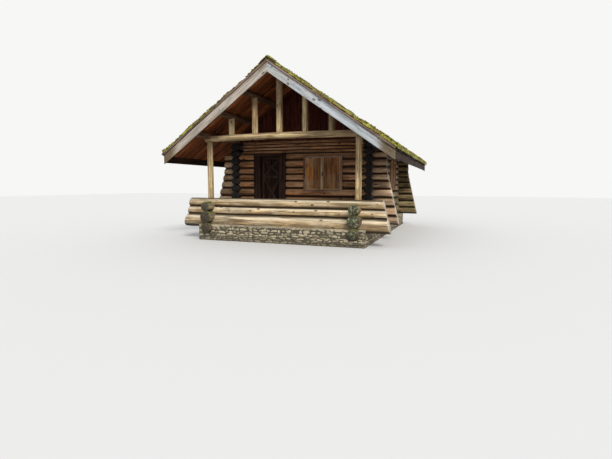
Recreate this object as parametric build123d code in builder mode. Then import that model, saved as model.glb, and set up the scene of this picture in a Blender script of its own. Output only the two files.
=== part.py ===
import math
import os

from build123d import *

os.makedirs("parts", exist_ok=True)

# Rustic park cabin of round logs on a rubble stone foundation, with an open
# porch under the front gable. Front faces -Y, ground level is z = 0.

# Fits
seat = 0.3
door_gap = 8.0

# Plan of the walls, between log centres
wall_centre_x = 2570.0
porch_depth = 1910.0
room_depth = 6120.0
porch_y = -(porch_depth + room_depth) / 2
door_wall_y = porch_y + porch_depth
back_y = door_wall_y + room_depth

# Logs, each course given by its height, from the lowest up
log_roundness = 0.53
porch_sill_level = 430.0
porch_log_heights = [444.0, 265.0, 288.0]
end_sill_level = 540.0
end_log_heights = [291.0, 317.0, 312.0, 297.0, 269.0, 244.0, 238.0, 279.0, 248.0]
side_sill_level = 252.0
side_log_heights = [340.0, 394.0, 318.0, 304.0, 284.0, 256.0, 241.0, 259.0, 263.0, 259.0, 262.0]
pole_heights = [120.0, 111.0, 114.0, 120.0]
low_wall_courses = 3

# Corners: the crossing ends are cut on a line that flares out towards the ground
corner_reach = 565.0
flare_level = 2430.0
flare_slope = 0.242
low_wall_reach = 450.0
porch_wall_reach = 350.0

# Foundation and floors
stone_ledge = 330.0
stone_inner = 320.0
ledge_inner = 160.0
floor_ledge_level = 700.0
joist_width = 120.0
joist_height = 180.0
joist_pitch = 610.0
floor_thickness = 60.0

# Porch frame
post_x = 2610.0
post_radius = 100.0
tie_radius = 106.0
tie_flat = 6.0
tie_overhang = 150.0
plate_over_tie = 100.0
short_post_pitch = 875.0
king_post_radius = 105.0
short_post_radius = 100.0
saddle_depth = 40.0

# Roof
roof_slope = 0.696
plate_radius = 105.0
plate_flat = 5.0
purlin_radius = 95.0
purlin_bed = 6.0
overhang = 900.0
eave_x = 3826.0
deck_thickness = 42.0
barge_depth = 240.0
barge_thickness = 40.0
eave_board_thickness = 30.0
eave_board_drop = 200.0
shake_base = 60.0
shake_butt = 25.0
shake_exposure = 300.0
shake_overhang = 40.0
ridge_cap_width = 260.0
ridge_cap_thickness = 88.0
gable_thickness = 60.0

# Doorway and door
door_centre_x = -1200.0
door_width = 800.0
door_height = 1985.0
door_lift = 10.0
doorway_width = 1300.0
frame_proud = 165.0
leaf_inner_y = 110.0
board_thickness = 25.0
brace_thickness = 20.0
stile_width = 85.0
top_rail_width = 95.0
mid_rail_width = 112.0
mid_rail_level = 1173.0
brace_width = 70.0
stop_width = 20.0
stop_gap = 6.0

# Door ironwork
hinge_offset = 18.0
hinge_radius = 12.0
pin_radius = 5.5
pin_slack = 0.5
strap_thickness = 6.0
strap_length = 520.0
strap_width = 50.0
barrel_height = 70.0
hinge_levels = [300.0, 1650.0]
pintle_plate_width = 80.0
pintle_reach = 36.0
pintle_arm_height = 10.0
handle_inset = 50.0
handle_level = 1226.0
handle_length = 150.0
handle_radius = 7.0
handle_stand = 48.0

# Shuttered windows
window_width = 1447.0
window_height = 1270.0
window_head_level = 2930.0
front_window_x = 878.0
side_window_to_back = 1865.0
window_trim = 62.0
window_proud = 160.0
shutter_thickness = 30.0
shutter_inset = 8.0
astragal_width = 80.0
astragal_thickness = 22.0


def stack(level, heights):
    """Courses as (bottom, height), one on another."""
    courses = []
    for height in heights:
        courses.append((level, height))
        level += height
    return courses


porch_courses = stack(porch_sill_level, porch_log_heights)
end_courses = stack(end_sill_level, end_log_heights)
side_courses = stack(side_sill_level, side_log_heights)
porch_top = sum(porch_courses[-1])
end_top = sum(end_courses[-1])
side_top = sum(side_courses[-1])
pole_courses = stack(end_top, pole_heights)
pole_top = sum(pole_courses[-1])

# Roof levels follow from the side walls that carry the plates
pitch = math.atan(roof_slope)
plate_z = side_top + seat + plate_radius - plate_flat
ridge_under = plate_z + (plate_radius - purlin_bed) / math.cos(pitch) + roof_slope * post_x
deck_rise = deck_thickness / math.cos(pitch)
barge_rise = barge_depth / math.cos(pitch)
roof_front = porch_y - overhang
roof_back = back_y + overhang
roof_length = roof_back - roof_front

floor_top = floor_ledge_level + joist_height + floor_thickness
porch_end_y = door_wall_y - porch_wall_reach
window_sill_level = window_head_level - window_height
side_window_y = back_y - side_window_to_back


def roof_under(x):
    """Underside of the roof boards at a distance from the middle."""
    return ridge_under - roof_slope * abs(x)


def reach(level):
    """How far a log end stands out past the crossing wall."""
    return corner_reach + max(0.0, flare_level - level) * flare_slope


def log_section(height, clearance=0.0):
    """Round log, hewn flat where it lies on the logs above and below."""
    with BuildSketch() as section:
        Circle(height * log_roundness + clearance)
        Rectangle(2 * height, height - seat + 2 * clearance, mode=Mode.INTERSECT)
    return section.sketch


def crossed(bottom, height, others):
    """Crossing logs that lie under the middle of this one and reach into it."""
    middle = bottom + height / 2
    return [(low, tall) for low, tall in others if low + tall / 2 < middle and low + tall > bottom]


def end_log(y, course, left=None, right=None, corners=(-1, 1)):
    """Log across the cabin; an end that isn't given runs out past its corner."""
    bottom, height = course
    top = bottom + height
    low_end = wall_centre_x + reach(bottom)
    high_end = wall_centre_x + reach(top)
    outline = [
        (-low_end if left is None else left, bottom),
        (low_end if right is None else right, bottom),
        (high_end if right is None else right, top),
        (-high_end if left is None else left, top),
    ]
    with BuildPart() as log:
        with BuildSketch(Plane.XZ.offset(-y)):
            Polygon(*outline, align=None)
        extrude(amount=height, both=True)
        with BuildSketch(Plane.YZ):
            with Locations((y, bottom + height / 2)):
                add(log_section(height))
        extrude(amount=low_end, both=True, mode=Mode.INTERSECT)
        for low, tall in crossed(bottom, height, side_courses):
            with BuildSketch(Plane.XZ.offset(-y)):
                with Locations(*[(side * wall_centre_x, low + tall / 2) for side in corners]):
                    add(log_section(tall, seat))
            extrude(amount=height, both=True, mode=Mode.SUBTRACT)
    return log.part


def side_log(side, course, front, crossings):
    """Log along a side wall, notched over each crossing wall given as (y, courses)."""
    bottom, height = course
    x = side * wall_centre_x
    with BuildPart() as log:
        with BuildSketch(Plane.XZ.offset(-front)):
            with Locations((x, bottom + height / 2)):
                add(log_section(height))
        extrude(amount=front - back_y - low_wall_reach)
        for y, courses in crossings:
            for low, tall in crossed(bottom, height, courses):
                with BuildSketch(Plane.YZ.offset(x)):
                    with Locations((y, low + tall / 2)):
                        add(log_section(tall, seat))
                extrude(amount=height, both=True, mode=Mode.SUBTRACT)
    return log.part


def box_between(low, high):
    """Squared timber between two opposite corners."""
    with BuildPart() as box:
        with Locations(tuple((a + b) / 2 for a, b in zip(low, high))):
            Box(*[b - a for a, b in zip(low, high)])
    return box.part


def mirrored(part):
    """The same piece on the other side of the cabin."""
    with BuildPart() as copy:
        add(part.mirror(Plane.YZ))
    return copy.part


# Rubble stone foundation: the sill logs are bedded in its top
with BuildPart() as stone_foundation:
    with Locations((0, 0, end_sill_level / 2)):
        Box(
            2 * (wall_centre_x + stone_ledge),
            porch_depth + room_depth + 2 * stone_ledge,
            end_sill_level,
        )
    with Locations((0, 0, floor_ledge_level / 2)):
        Box(
            2 * (wall_centre_x - ledge_inner),
            porch_depth + room_depth - 2 * ledge_inner,
            floor_ledge_level,
        )
    for low_y, high_y in ((porch_y, door_wall_y), (door_wall_y, back_y)):
        with Locations((0, (low_y + high_y) / 2, floor_ledge_level / 2)):
            Box(
                2 * (wall_centre_x - stone_inner),
                high_y - low_y - 2 * stone_inner,
                floor_ledge_level,
                mode=Mode.SUBTRACT,
            )
    with Locations((0, door_wall_y, end_sill_level)):
        Box(
            2 * wall_centre_x,
            2 * stone_inner,
            2 * (floor_ledge_level - end_sill_level),
            align=(Align.CENTER, Align.CENTER, Align.MIN),
            mode=Mode.SUBTRACT,
        )
    with BuildSketch(Plane.YZ):
        with Locations((porch_y, porch_sill_level + porch_log_heights[0] / 2)):
            add(log_section(porch_log_heights[0], seat))
        for y in (door_wall_y, back_y):
            with Locations((y, end_sill_level + end_log_heights[0] / 2)):
                add(log_section(end_log_heights[0], seat))
    extrude(amount=wall_centre_x + stone_ledge, both=True, mode=Mode.SUBTRACT)
    with BuildSketch(Plane.XZ):
        for side in (-1, 1):
            for low, tall in side_courses[:2]:
                with Locations((side * wall_centre_x, low + tall / 2)):
                    add(log_section(tall, seat))
    extrude(amount=roof_length, both=True, mode=Mode.SUBTRACT)
stone_foundation.part.label = "stone_foundation"
export_step(stone_foundation.part, "parts/stone_foundation.step")


# Half thickness of the walls where the floors meet them
wall_half = max(side_log_heights[1], end_log_heights[1], porch_log_heights[1]) * log_roundness + seat


def joist_row(low_y, high_y):
    """Floor joists across the cabin, resting on the stone ledges."""
    span = high_y - low_y - 2 * stone_inner - joist_width
    count = int(span // joist_pitch) + 1
    with BuildPart() as joists:
        with Locations((0, (low_y + high_y) / 2, floor_ledge_level + seat)):
            with GridLocations(1, span / (count - 1), 1, count):
                Box(
                    2 * (wall_centre_x - wall_half),
                    joist_width,
                    joist_height - 2 * seat,
                    align=(Align.CENTER, Align.CENTER, Align.MIN),
                )
    return joists.part


def floor_between(low_y, high_y, clear):
    """Board floor on the joists, let in to the log faces."""
    half = wall_centre_x - clear
    return box_between(
        (-half, low_y + clear, floor_top - floor_thickness),
        (half, high_y - clear, floor_top),
    )


with BuildPart() as porch_joists:
    add(joist_row(porch_y, door_wall_y))
porch_joists.part.label = "porch_joists"
export_step(porch_joists.part, "parts/porch_joists.step")

with BuildPart() as porch_floor:
    add(floor_between(porch_y, door_wall_y, wall_half))
porch_floor.part.label = "porch_floor"
export_step(porch_floor.part, "parts/porch_floor.step")

with BuildPart() as room_joists:
    add(joist_row(door_wall_y, back_y))
room_joists.part.label = "room_joists"
export_step(room_joists.part, "parts/room_joists.step")

with BuildPart() as room_floor:
    add(floor_between(door_wall_y, back_y, wall_half))
room_floor.part.label = "room_floor"
export_step(room_floor.part, "parts/room_floor.step")

# Low log wall across the front of the porch
with BuildPart() as porch_front_logs:
    add([end_log(porch_y, course) for course in porch_courses])
porch_front_logs.part.label = "porch_front_logs"
export_step(porch_front_logs.part, "parts/porch_front_logs.step")

# Side walls: the lowest courses run on as the low side walls of the porch
low_crossings = [(porch_y, porch_courses), (door_wall_y, end_courses), (back_y, end_courses)]
high_crossings = low_crossings[1:]

with BuildPart() as right_low_logs:
    for low_course in side_courses[:low_wall_courses]:
        add(side_log(1, low_course, porch_y - low_wall_reach, low_crossings))
right_low_logs.part.label = "right_low_logs"
export_step(right_low_logs.part, "parts/right_low_logs.step")

with BuildPart() as left_low_logs:
    add(mirrored(right_low_logs.part))
left_low_logs.part.label = "left_low_logs"
export_step(left_low_logs.part, "parts/left_low_logs.step")

with BuildPart() as right_wall_logs:
    for high_course in side_courses[low_wall_courses:]:
        add(side_log(1, high_course, porch_end_y, high_crossings))
    with Locations((wall_centre_x, side_window_y, window_sill_level)):
        Box(
            2 * frame_proud + joist_width,
            window_width + 2 * seat,
            window_height + 2 * seat,
            align=(Align.CENTER, Align.CENTER, Align.MIN),
            mode=Mode.SUBTRACT,
        )
right_wall_logs.part.label = "right_wall_logs"
export_step(right_wall_logs.part, "parts/right_wall_logs.step")

with BuildPart() as left_wall_logs:
    add(mirrored(right_wall_logs.part))
left_wall_logs.part.label = "left_wall_logs"
export_step(left_wall_logs.part, "parts/left_wall_logs.step")

# Door wall, split beside and over the doorway
doorway_left = door_centre_x - doorway_width / 2
doorway_right = door_centre_x + doorway_width / 2

with BuildPart() as front_wall_sill_log:
    add(end_log(door_wall_y, end_courses[0]))
front_wall_sill_log.part.label = "front_wall_sill_log"
export_step(front_wall_sill_log.part, "parts/front_wall_sill_log.step")

with BuildPart() as front_wall_left_logs:
    for end_course in end_courses[1:]:
        add(end_log(door_wall_y, end_course, right=doorway_left, corners=(-1,)))
front_wall_left_logs.part.label = "front_wall_left_logs"
export_step(front_wall_left_logs.part, "parts/front_wall_left_logs.step")

with BuildPart() as front_wall_right_logs:
    for end_course in end_courses[1:]:
        add(end_log(door_wall_y, end_course, left=doorway_right, corners=(1,)))
    with Locations((front_window_x, door_wall_y, window_sill_level)):
        Box(
            window_width + 2 * seat,
            2 * frame_proud + joist_width,
            window_height + 2 * seat,
            align=(Align.CENTER, Align.CENTER, Align.MIN),
            mode=Mode.SUBTRACT,
        )
front_wall_right_logs.part.label = "front_wall_right_logs"
export_step(front_wall_right_logs.part, "parts/front_wall_right_logs.step")

with BuildPart() as back_wall_logs:
    add([end_log(back_y, end_course) for end_course in end_courses])
back_wall_logs.part.label = "back_wall_logs"
export_step(back_wall_logs.part, "parts/back_wall_logs.step")

# Thin poles over the log courses, between the side walls
pole_half = wall_centre_x - wall_half


def pole_row(y):
    """Poles from the top log up to the gable boards."""
    with BuildPart() as poles:
        with BuildSketch(Plane.YZ):
            for low, tall in pole_courses:
                with Locations((y, low + tall / 2)):
                    add(log_section(tall))
        extrude(amount=pole_half, both=True)
    return poles.part


with BuildPart() as front_wall_poles:
    add(pole_row(door_wall_y))
front_wall_poles.part.label = "front_wall_poles"
export_step(front_wall_poles.part, "parts/front_wall_poles.step")

with BuildPart() as back_wall_poles:
    add(pole_row(back_y))
back_wall_poles.part.label = "back_wall_poles"
export_step(back_wall_poles.part, "parts/back_wall_poles.step")

# Purlins, wall plates and the sketch of everything under the roof boards
purlin_xs = [-2 * short_post_pitch, -short_post_pitch, short_post_pitch, 2 * short_post_pitch]
plate_xs = [-post_x, post_x]
purlin_length = roof_length / 2 - barge_thickness - seat


def purlin_z(x):
    """Centre of a purlin that is bedded flat against the roof boards."""
    return roof_under(x) - (purlin_radius - purlin_bed) / math.cos(pitch)


def under_roof(drop):
    """Outline of the space below the roof boards, lowered by a clearance."""
    with BuildSketch() as space:
        Polygon(
            (-eave_x, 0),
            (eave_x, 0),
            (eave_x, roof_under(eave_x) - drop),
            (0, ridge_under - drop),
            (-eave_x, roof_under(eave_x) - drop),
            align=None,
        )
    return space.sketch


ridge_z = ridge_under - purlin_radius / math.cos(pitch)
tie_z = plate_z - plate_over_tie
tie_bottom = tie_z - tie_radius + tie_flat
tie_top = tie_z + tie_radius - tie_flat

with BuildPart() as ridge_purlin:
    with BuildSketch(Plane.XZ):
        with Locations((0, ridge_z)):
            Circle(purlin_radius + purlin_bed)
        add(under_roof(seat), mode=Mode.INTERSECT)
    extrude(amount=purlin_length, both=True)
ridge_purlin.part.label = "ridge_purlin"
export_step(ridge_purlin.part, "parts/ridge_purlin.step")

with BuildPart() as purlins:
    with BuildSketch(Plane.XZ):
        with Locations(*[(x, purlin_z(x)) for x in purlin_xs]):
            Circle(purlin_radius)
        add(under_roof(seat), mode=Mode.INTERSECT)
    extrude(amount=purlin_length, both=True)
purlins.part.label = "purlins"
export_step(purlins.part, "parts/purlins.step")

with BuildPart() as wall_plates:
    with BuildSketch(Plane.XZ):
        with Locations(*[(x, plate_z) for x in plate_xs]):
            Circle(plate_radius)
        add(under_roof(seat), mode=Mode.INTERSECT)
        with Locations((0, side_top + seat)):
            Rectangle(
                2 * eave_x,
                4 * plate_radius,
                align=(Align.CENTER, Align.MIN),
                mode=Mode.INTERSECT,
            )
    extrude(amount=purlin_length, both=True)
    with BuildSketch(Plane.YZ):
        with Locations((porch_y, tie_z)):
            Circle(tie_radius + seat)
    extrude(amount=eave_x, both=True, mode=Mode.SUBTRACT)
wall_plates.part.label = "wall_plates"
export_step(wall_plates.part, "parts/wall_plates.step")

# Porch posts, tie beam and the short posts under the purlins
with BuildPart() as tie_beam:
    with BuildSketch(Plane.YZ):
        with Locations((porch_y, tie_z)):
            Circle(tie_radius)
            Rectangle(4 * tie_radius, tie_top - tie_bottom, mode=Mode.INTERSECT)
    extrude(amount=post_x + tie_overhang, both=True)
tie_beam.part.label = "tie_beam"
export_step(tie_beam.part, "parts/tie_beam.step")

with BuildPart() as left_porch_post:
    with Locations((-post_x, porch_y, porch_top)):
        Cylinder(
            post_radius,
            tie_bottom - porch_top - seat,
            align=(Align.CENTER, Align.CENTER, Align.MIN),
        )
left_porch_post.part.label = "left_porch_post"
export_step(left_porch_post.part, "parts/left_porch_post.step")

with BuildPart() as right_porch_post:
    add(mirrored(left_porch_post.part))
right_porch_post.part.label = "right_porch_post"
export_step(right_porch_post.part, "parts/right_porch_post.step")


def short_post(x, radius, purlin_centre, purlin_size):
    """Post from the tie beam to a purlin that lies in a saddle in its top."""
    top = purlin_centre - purlin_size + saddle_depth
    with BuildPart() as post:
        with Locations((x, porch_y, tie_top + seat)):
            Cylinder(radius, top - tie_top - seat, align=(Align.CENTER, Align.CENTER, Align.MIN))
        with BuildSketch(Plane.XZ.offset(-porch_y)):
            with Locations((x, purlin_centre)):
                Circle(purlin_size + seat)
        extrude(amount=2 * radius, both=True, mode=Mode.SUBTRACT)
    return post.part


with BuildPart() as king_post:
    add(short_post(0, king_post_radius, ridge_z, purlin_radius + purlin_bed))
king_post.part.label = "king_post"
export_step(king_post.part, "parts/king_post.step")

with BuildPart() as short_posts:
    add([short_post(x, short_post_radius, purlin_z(x), purlin_radius) for x in purlin_xs])
short_posts.part.label = "short_posts"
export_step(short_posts.part, "parts/short_posts.step")


def gable(y):
    """Boarded triangle over the poles, cut round the purlins."""
    half = post_x - plate_radius - seat
    with BuildPart() as boards:
        with BuildSketch(Plane.XZ.offset(-y)):
            Polygon(
                (-half, pole_top),
                (half, pole_top),
                (half, roof_under(half) - seat),
                (0, ridge_under - seat),
                (-half, roof_under(half) - seat),
                align=None,
            )
            with Locations(*[(x, purlin_z(x)) for x in purlin_xs]):
                Circle(purlin_radius + seat, mode=Mode.SUBTRACT)
            with Locations((0, ridge_z)):
                Circle(purlin_radius + purlin_bed + seat, mode=Mode.SUBTRACT)
                Rectangle(
                    purlin_radius,
                    2 * purlin_radius,
                    align=(Align.CENTER, Align.MIN),
                    mode=Mode.SUBTRACT,
                )
        extrude(amount=gable_thickness / 2, both=True)
    return boards.part


with BuildPart() as front_gable:
    add(gable(door_wall_y))
front_gable.part.label = "front_gable"
export_step(front_gable.part, "parts/front_gable.step")

with BuildPart() as back_gable:
    add(gable(back_y))
back_gable.part.label = "back_gable"
export_step(back_gable.part, "parts/back_gable.step")

# Roof boards, barge boards, eave boards, shakes and ridge cap
deck_end_x = eave_x - eave_board_thickness - seat

with BuildPart() as roof_deck_right:
    with BuildSketch(Plane.XZ):
        Polygon(
            (seat / 2, ridge_under),
            (deck_end_x, roof_under(deck_end_x)),
            (deck_end_x, roof_under(deck_end_x) + deck_rise),
            (seat / 2, ridge_under + deck_rise),
            align=None,
        )
    extrude(amount=roof_length / 2 - barge_thickness - seat, both=True)
roof_deck_right.part.label = "roof_deck_right"
export_step(roof_deck_right.part, "parts/roof_deck_right.step")

with BuildPart() as roof_deck_left:
    add(mirrored(roof_deck_right.part))
roof_deck_left.part.label = "roof_deck_left"
export_step(roof_deck_left.part, "parts/roof_deck_left.step")


def barge_pair(y):
    """Two barge boards that meet in a plumb joint at the ridge."""
    top_ridge = ridge_under + deck_rise
    top_eave = roof_under(eave_x) + deck_rise
    with BuildPart() as boards:
        with BuildSketch(Plane.XZ.offset(-y)):
            Polygon(
                (seat / 2, top_ridge),
                (seat / 2, top_ridge - barge_rise),
                (eave_x, top_eave - barge_rise),
                (eave_x, top_eave),
                align=None,
            )
            mirror(about=Plane.YZ)
        extrude(amount=barge_thickness / 2, both=True)
    return boards.part


with BuildPart() as front_barge_boards:
    add(barge_pair(roof_front + barge_thickness / 2))
front_barge_boards.part.label = "front_barge_boards"
export_step(front_barge_boards.part, "parts/front_barge_boards.step")

with BuildPart() as back_barge_boards:
    add(barge_pair(roof_back - barge_thickness / 2))
back_barge_boards.part.label = "back_barge_boards"
export_step(back_barge_boards.part, "parts/back_barge_boards.step")

with BuildPart() as eave_board_right:
    with BuildSketch(Plane.XZ):
        Polygon(
            (eave_x - eave_board_thickness, roof_under(eave_x) - eave_board_drop),
            (eave_x, roof_under(eave_x) - eave_board_drop),
            (eave_x, roof_under(eave_x) + deck_rise),
            (eave_x - eave_board_thickness, roof_under(eave_x - eave_board_thickness) + deck_rise),
            align=None,
        )
    extrude(amount=roof_length / 2 - barge_thickness - seat, both=True)
eave_board_right.part.label = "eave_board_right"
export_step(eave_board_right.part, "parts/eave_board_right.step")

with BuildPart() as eave_board_left:
    add(mirrored(eave_board_right.part))
eave_board_left.part.label = "eave_board_left"
export_step(eave_board_left.part, "parts/eave_board_left.step")

# Shakes lie in lapped courses; the top band under the ridge cap is level
shake_eave = Vector(eave_x + shake_overhang, roof_under(eave_x + shake_overhang) + deck_rise + seat)
slope_length = shake_eave.X / math.cos(pitch)
shake_top = shake_base + shake_butt
course_count = int((slope_length - ridge_cap_width) // shake_exposure)


def on_slope(along, above):
    """Point of the right-hand roof slope, from the eave up."""
    return (
        shake_eave.X - along * math.cos(pitch) + above * math.sin(pitch),
        shake_eave.Y + along * math.sin(pitch) + above * math.cos(pitch),
    )


shake_outline = [on_slope(0, 0)]
for step in range(course_count):
    shake_outline.append(on_slope(step * shake_exposure, shake_top))
    shake_outline.append(on_slope((step + 1) * shake_exposure, shake_base))
shake_outline.append(on_slope(course_count * shake_exposure, shake_top))
ridge_run = slope_length + shake_top * roof_slope
shake_outline.append(on_slope(ridge_run, shake_top))
shake_outline.append(on_slope(slope_length, 0))

with BuildPart() as roof_shakes_right:
    with BuildSketch(Plane.XZ):
        Polygon(*shake_outline, align=None)
        with Locations((seat / 2, 0)):
            Rectangle(
                2 * eave_x,
                2 * ridge_under,
                align=(Align.MIN, Align.MIN),
                mode=Mode.INTERSECT,
            )
    extrude(amount=roof_length / 2 + shake_overhang, both=True)
roof_shakes_right.part.label = "roof_shakes_right"
export_step(roof_shakes_right.part, "parts/roof_shakes_right.step")

with BuildPart() as roof_shakes_left:
    add(mirrored(roof_shakes_right.part))
roof_shakes_left.part.label = "roof_shakes_left"
export_step(roof_shakes_left.part, "parts/roof_shakes_left.step")

cap_half = ridge_cap_width * math.cos(pitch)
cap_base = ridge_under + deck_rise + 2 * seat + shake_top / math.cos(pitch)
cap_rise = ridge_cap_thickness / math.cos(pitch)

with BuildPart() as ridge_cap:
    with BuildSketch(Plane.XZ):
        Polygon(
            (0, cap_base),
            (cap_half, cap_base - cap_half * roof_slope),
            (cap_half, cap_base - cap_half * roof_slope + cap_rise / 2),
            (0, cap_base + cap_rise),
            (-cap_half, cap_base - cap_half * roof_slope + cap_rise / 2),
            (-cap_half, cap_base - cap_half * roof_slope),
            align=None,
        )
    extrude(amount=roof_length / 2 + shake_overhang, both=True)
ridge_cap.part.label = "ridge_cap"
export_step(ridge_cap.part, "parts/ridge_cap.step")

# Door frame of hewn timbers, rebated for a leaf that opens into the room
leaf_left = door_centre_x - door_width / 2
leaf_right = door_centre_x + door_width / 2
leaf_bottom = floor_top + door_lift
leaf_top = leaf_bottom + door_height
leaf_outer_y = leaf_inner_y - board_thickness - brace_thickness
frame_front = door_wall_y - frame_proud
frame_back = door_wall_y + leaf_inner_y
stop_back = door_wall_y + leaf_outer_y - stop_gap
header_bottom = leaf_top + door_gap
jamb_left = leaf_left - door_gap
jamb_right = leaf_right + door_gap

with BuildPart() as door_sill:
    add(
        box_between(
            (doorway_left + seat, frame_front, sum(end_courses[0])),
            (doorway_right - seat, frame_back, floor_top),
        )
    )
door_sill.part.label = "door_sill"
export_step(door_sill.part, "parts/door_sill.step")


def door_post(outer_x, jamb_x, stop_x):
    """Post of the door frame, with the stop left standing in front of the leaf."""
    with BuildPart() as post:
        with BuildSketch(Plane.XY.offset(floor_top + seat)):
            Polygon(
                (outer_x, frame_front),
                (stop_x, frame_front),
                (stop_x, stop_back),
                (jamb_x, stop_back),
                (jamb_x, frame_back),
                (outer_x, frame_back),
                align=None,
            )
        extrude(amount=header_bottom - floor_top - 2 * seat)
    return post.part


with BuildPart() as door_frame_left:
    add(door_post(doorway_left + seat, jamb_left, jamb_left + stop_width))
door_frame_left.part.label = "door_frame_left"
export_step(door_frame_left.part, "parts/door_frame_left.step")

with BuildPart() as door_frame_right:
    add(door_post(doorway_right - seat, jamb_right, jamb_right - stop_width))
door_frame_right.part.label = "door_frame_right"
export_step(door_frame_right.part, "parts/door_frame_right.step")

with BuildPart() as door_header:
    add(
        box_between(
            (doorway_left + seat, frame_front, header_bottom),
            (doorway_right - seat, frame_back, end_top - seat),
        )
    )
door_header.part.label = "door_header"
export_step(door_header.part, "parts/door_header.step")

# Door leaf: vertical boards with a frame of rails and crossed braces in front
with BuildPart() as door_leaf:
    add(
        box_between(
            (leaf_left, door_wall_y + leaf_inner_y - board_thickness, leaf_bottom),
            (leaf_right, door_wall_y + leaf_inner_y, leaf_top),
        )
    )
door_leaf.part.label = "door_leaf"
export_step(door_leaf.part, "parts/door_leaf.step")

brace_y = door_wall_y + leaf_outer_y
panel_half = door_width / 2 - stile_width


def crossed_braces(low, high):
    """Outline of two braces from corner to corner of a door panel."""
    rise = high - low
    angle = math.degrees(math.atan2(rise, 2 * panel_half))
    length = math.hypot(rise, 2 * panel_half)
    with BuildSketch() as cross:
        Rectangle(length, brace_width, rotation=angle)
        Rectangle(length, brace_width, rotation=-angle)
        Rectangle(2 * panel_half, rise, mode=Mode.INTERSECT)
    return cross.sketch


mid_low = leaf_bottom + mid_rail_level
mid_high = mid_low + mid_rail_width
lower_panel = (leaf_bottom + top_rail_width, mid_low)
upper_panel = (mid_high, leaf_top - top_rail_width)

with BuildPart() as door_bracing:
    with BuildSketch(Plane.XZ.offset(-brace_y)):
        with Locations((door_centre_x, (leaf_bottom + leaf_top) / 2)):
            Rectangle(door_width, door_height)
        for low, high in (lower_panel, upper_panel):
            with Locations((door_centre_x, (low + high) / 2)):
                Rectangle(2 * panel_half, high - low, mode=Mode.SUBTRACT)
                add(crossed_braces(low, high))
    extrude(amount=-(brace_thickness - seat))
door_bracing.part.label = "door_bracing"
export_step(door_bracing.part, "parts/door_bracing.step")

# Strap hinges on the room side: straps and barrels swing, pintles stay
hinge_x = (leaf_left + jamb_left) / 2
hinge_y = frame_back + hinge_offset
strap_back = frame_back + strap_thickness

with BuildPart() as door_straps:
    for hinge_level in hinge_levels:
        level = leaf_bottom + hinge_level
        add(
            box_between(
                (hinge_x, frame_back + seat, level - strap_width / 2),
                (hinge_x + strap_length, strap_back, level + strap_width / 2),
            )
        )
        add(
            box_between(
                (hinge_x, strap_back - seat, level - strap_width / 2),
                (hinge_x + hinge_radius, hinge_y, level + strap_width / 2),
            )
        )
        with Locations((hinge_x, hinge_y, level)):
            Cylinder(hinge_radius, barrel_height)
            Cylinder(pin_radius + pin_slack, barrel_height, mode=Mode.SUBTRACT)
door_straps.part.label = "door_straps"
export_step(door_straps.part, "parts/door_straps.step")

with BuildPart() as hinge_pintles:
    for hinge_level in hinge_levels:
        level = leaf_bottom + hinge_level
        arm_top = level - barrel_height / 2 - pin_slack
        plate_right = hinge_x - pintle_reach
        add(
            box_between(
                (plate_right - pintle_plate_width, frame_back + seat, level - barrel_height),
                (plate_right, strap_back, level + barrel_height),
            )
        )
        add(
            box_between(
                (plate_right - pintle_plate_width / 4, frame_back + seat, arm_top - pintle_arm_height),
                (hinge_x, hinge_y + pin_radius, arm_top),
            )
        )
        with Locations((hinge_x, hinge_y, arm_top - pintle_arm_height)):
            Cylinder(
                pin_radius,
                pintle_arm_height + barrel_height,
                align=(Align.CENTER, Align.CENTER, Align.MIN),
            )
hinge_pintles.part.label = "hinge_pintles"
export_step(hinge_pintles.part, "parts/hinge_pintles.step")

# Bowed pull handle on the closing edge
with BuildPart() as door_handle:
    pull_x = leaf_right - handle_inset
    pull_z = floor_top + handle_level
    with BuildLine():
        Polyline(
            (pull_x, brace_y - seat, pull_z - handle_length / 2),
            (pull_x, brace_y - handle_stand, pull_z - handle_length / 2),
            (pull_x, brace_y - handle_stand, pull_z + handle_length / 2),
            (pull_x, brace_y - seat, pull_z + handle_length / 2),
        )
        fillet(vertices().filter_by(lambda v: v.Y < brace_y - handle_stand / 2), 3 * handle_radius)
    with BuildSketch(Plane.XZ.offset(seat - brace_y)):
        with Locations((pull_x, pull_z - handle_length / 2)):
            Circle(handle_radius)
    sweep()
door_handle.part.label = "door_handle"
export_step(door_handle.part, "parts/door_handle.step")


def window_pieces(place):
    """Frame and closed pair of shutters, made facing -Y and set in place."""
    middle = window_sill_level + window_height / 2
    opening_width = window_width - 2 * window_trim
    opening_height = window_height - 2 * window_trim
    shutter_y = window_proud - shutter_thickness / 2
    leaf_width = opening_width / 2 - 2 * seat
    with BuildPart() as frame:
        with Locations((0, 0, middle)):
            Box(window_width, 2 * window_proud, window_height)
            Box(opening_width, 2 * window_proud, opening_height, mode=Mode.SUBTRACT)
    with BuildPart() as shutters:
        with Locations((0, -shutter_y + shutter_inset, middle)):
            with GridLocations(opening_width / 2, 1, 2, 1):
                Box(leaf_width, shutter_thickness, opening_height - 2 * seat)
        with Locations((0, -window_proud + shutter_inset - seat, middle)):
            Box(
                astragal_width,
                astragal_thickness,
                opening_height - 2 * seat,
                align=(Align.CENTER, Align.MAX, Align.CENTER),
            )
    return place * frame.part, place * shutters.part


window_places = {
    "front": Location((front_window_x, door_wall_y, 0)),
    "right": Location((wall_centre_x, side_window_y, 0), (0, 0, 90)),
    "left": Location((-wall_centre_x, side_window_y, 0), (0, 0, -90)),
}
for wall, window_place in window_places.items():
    frame_part, shutter_part = window_pieces(window_place)
    with BuildPart() as window_frame:
        add(frame_part)
    window_frame.part.label = f"{wall}_window_frame"
    export_step(window_frame.part, f"parts/{wall}_window_frame.step")
    with BuildPart() as window_shutters:
        add(shutter_part)
    window_shutters.part.label = f"{wall}_window_shutters"
    export_step(window_shutters.part, f"parts/{wall}_window_shutters.step")
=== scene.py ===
import math
import random

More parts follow.
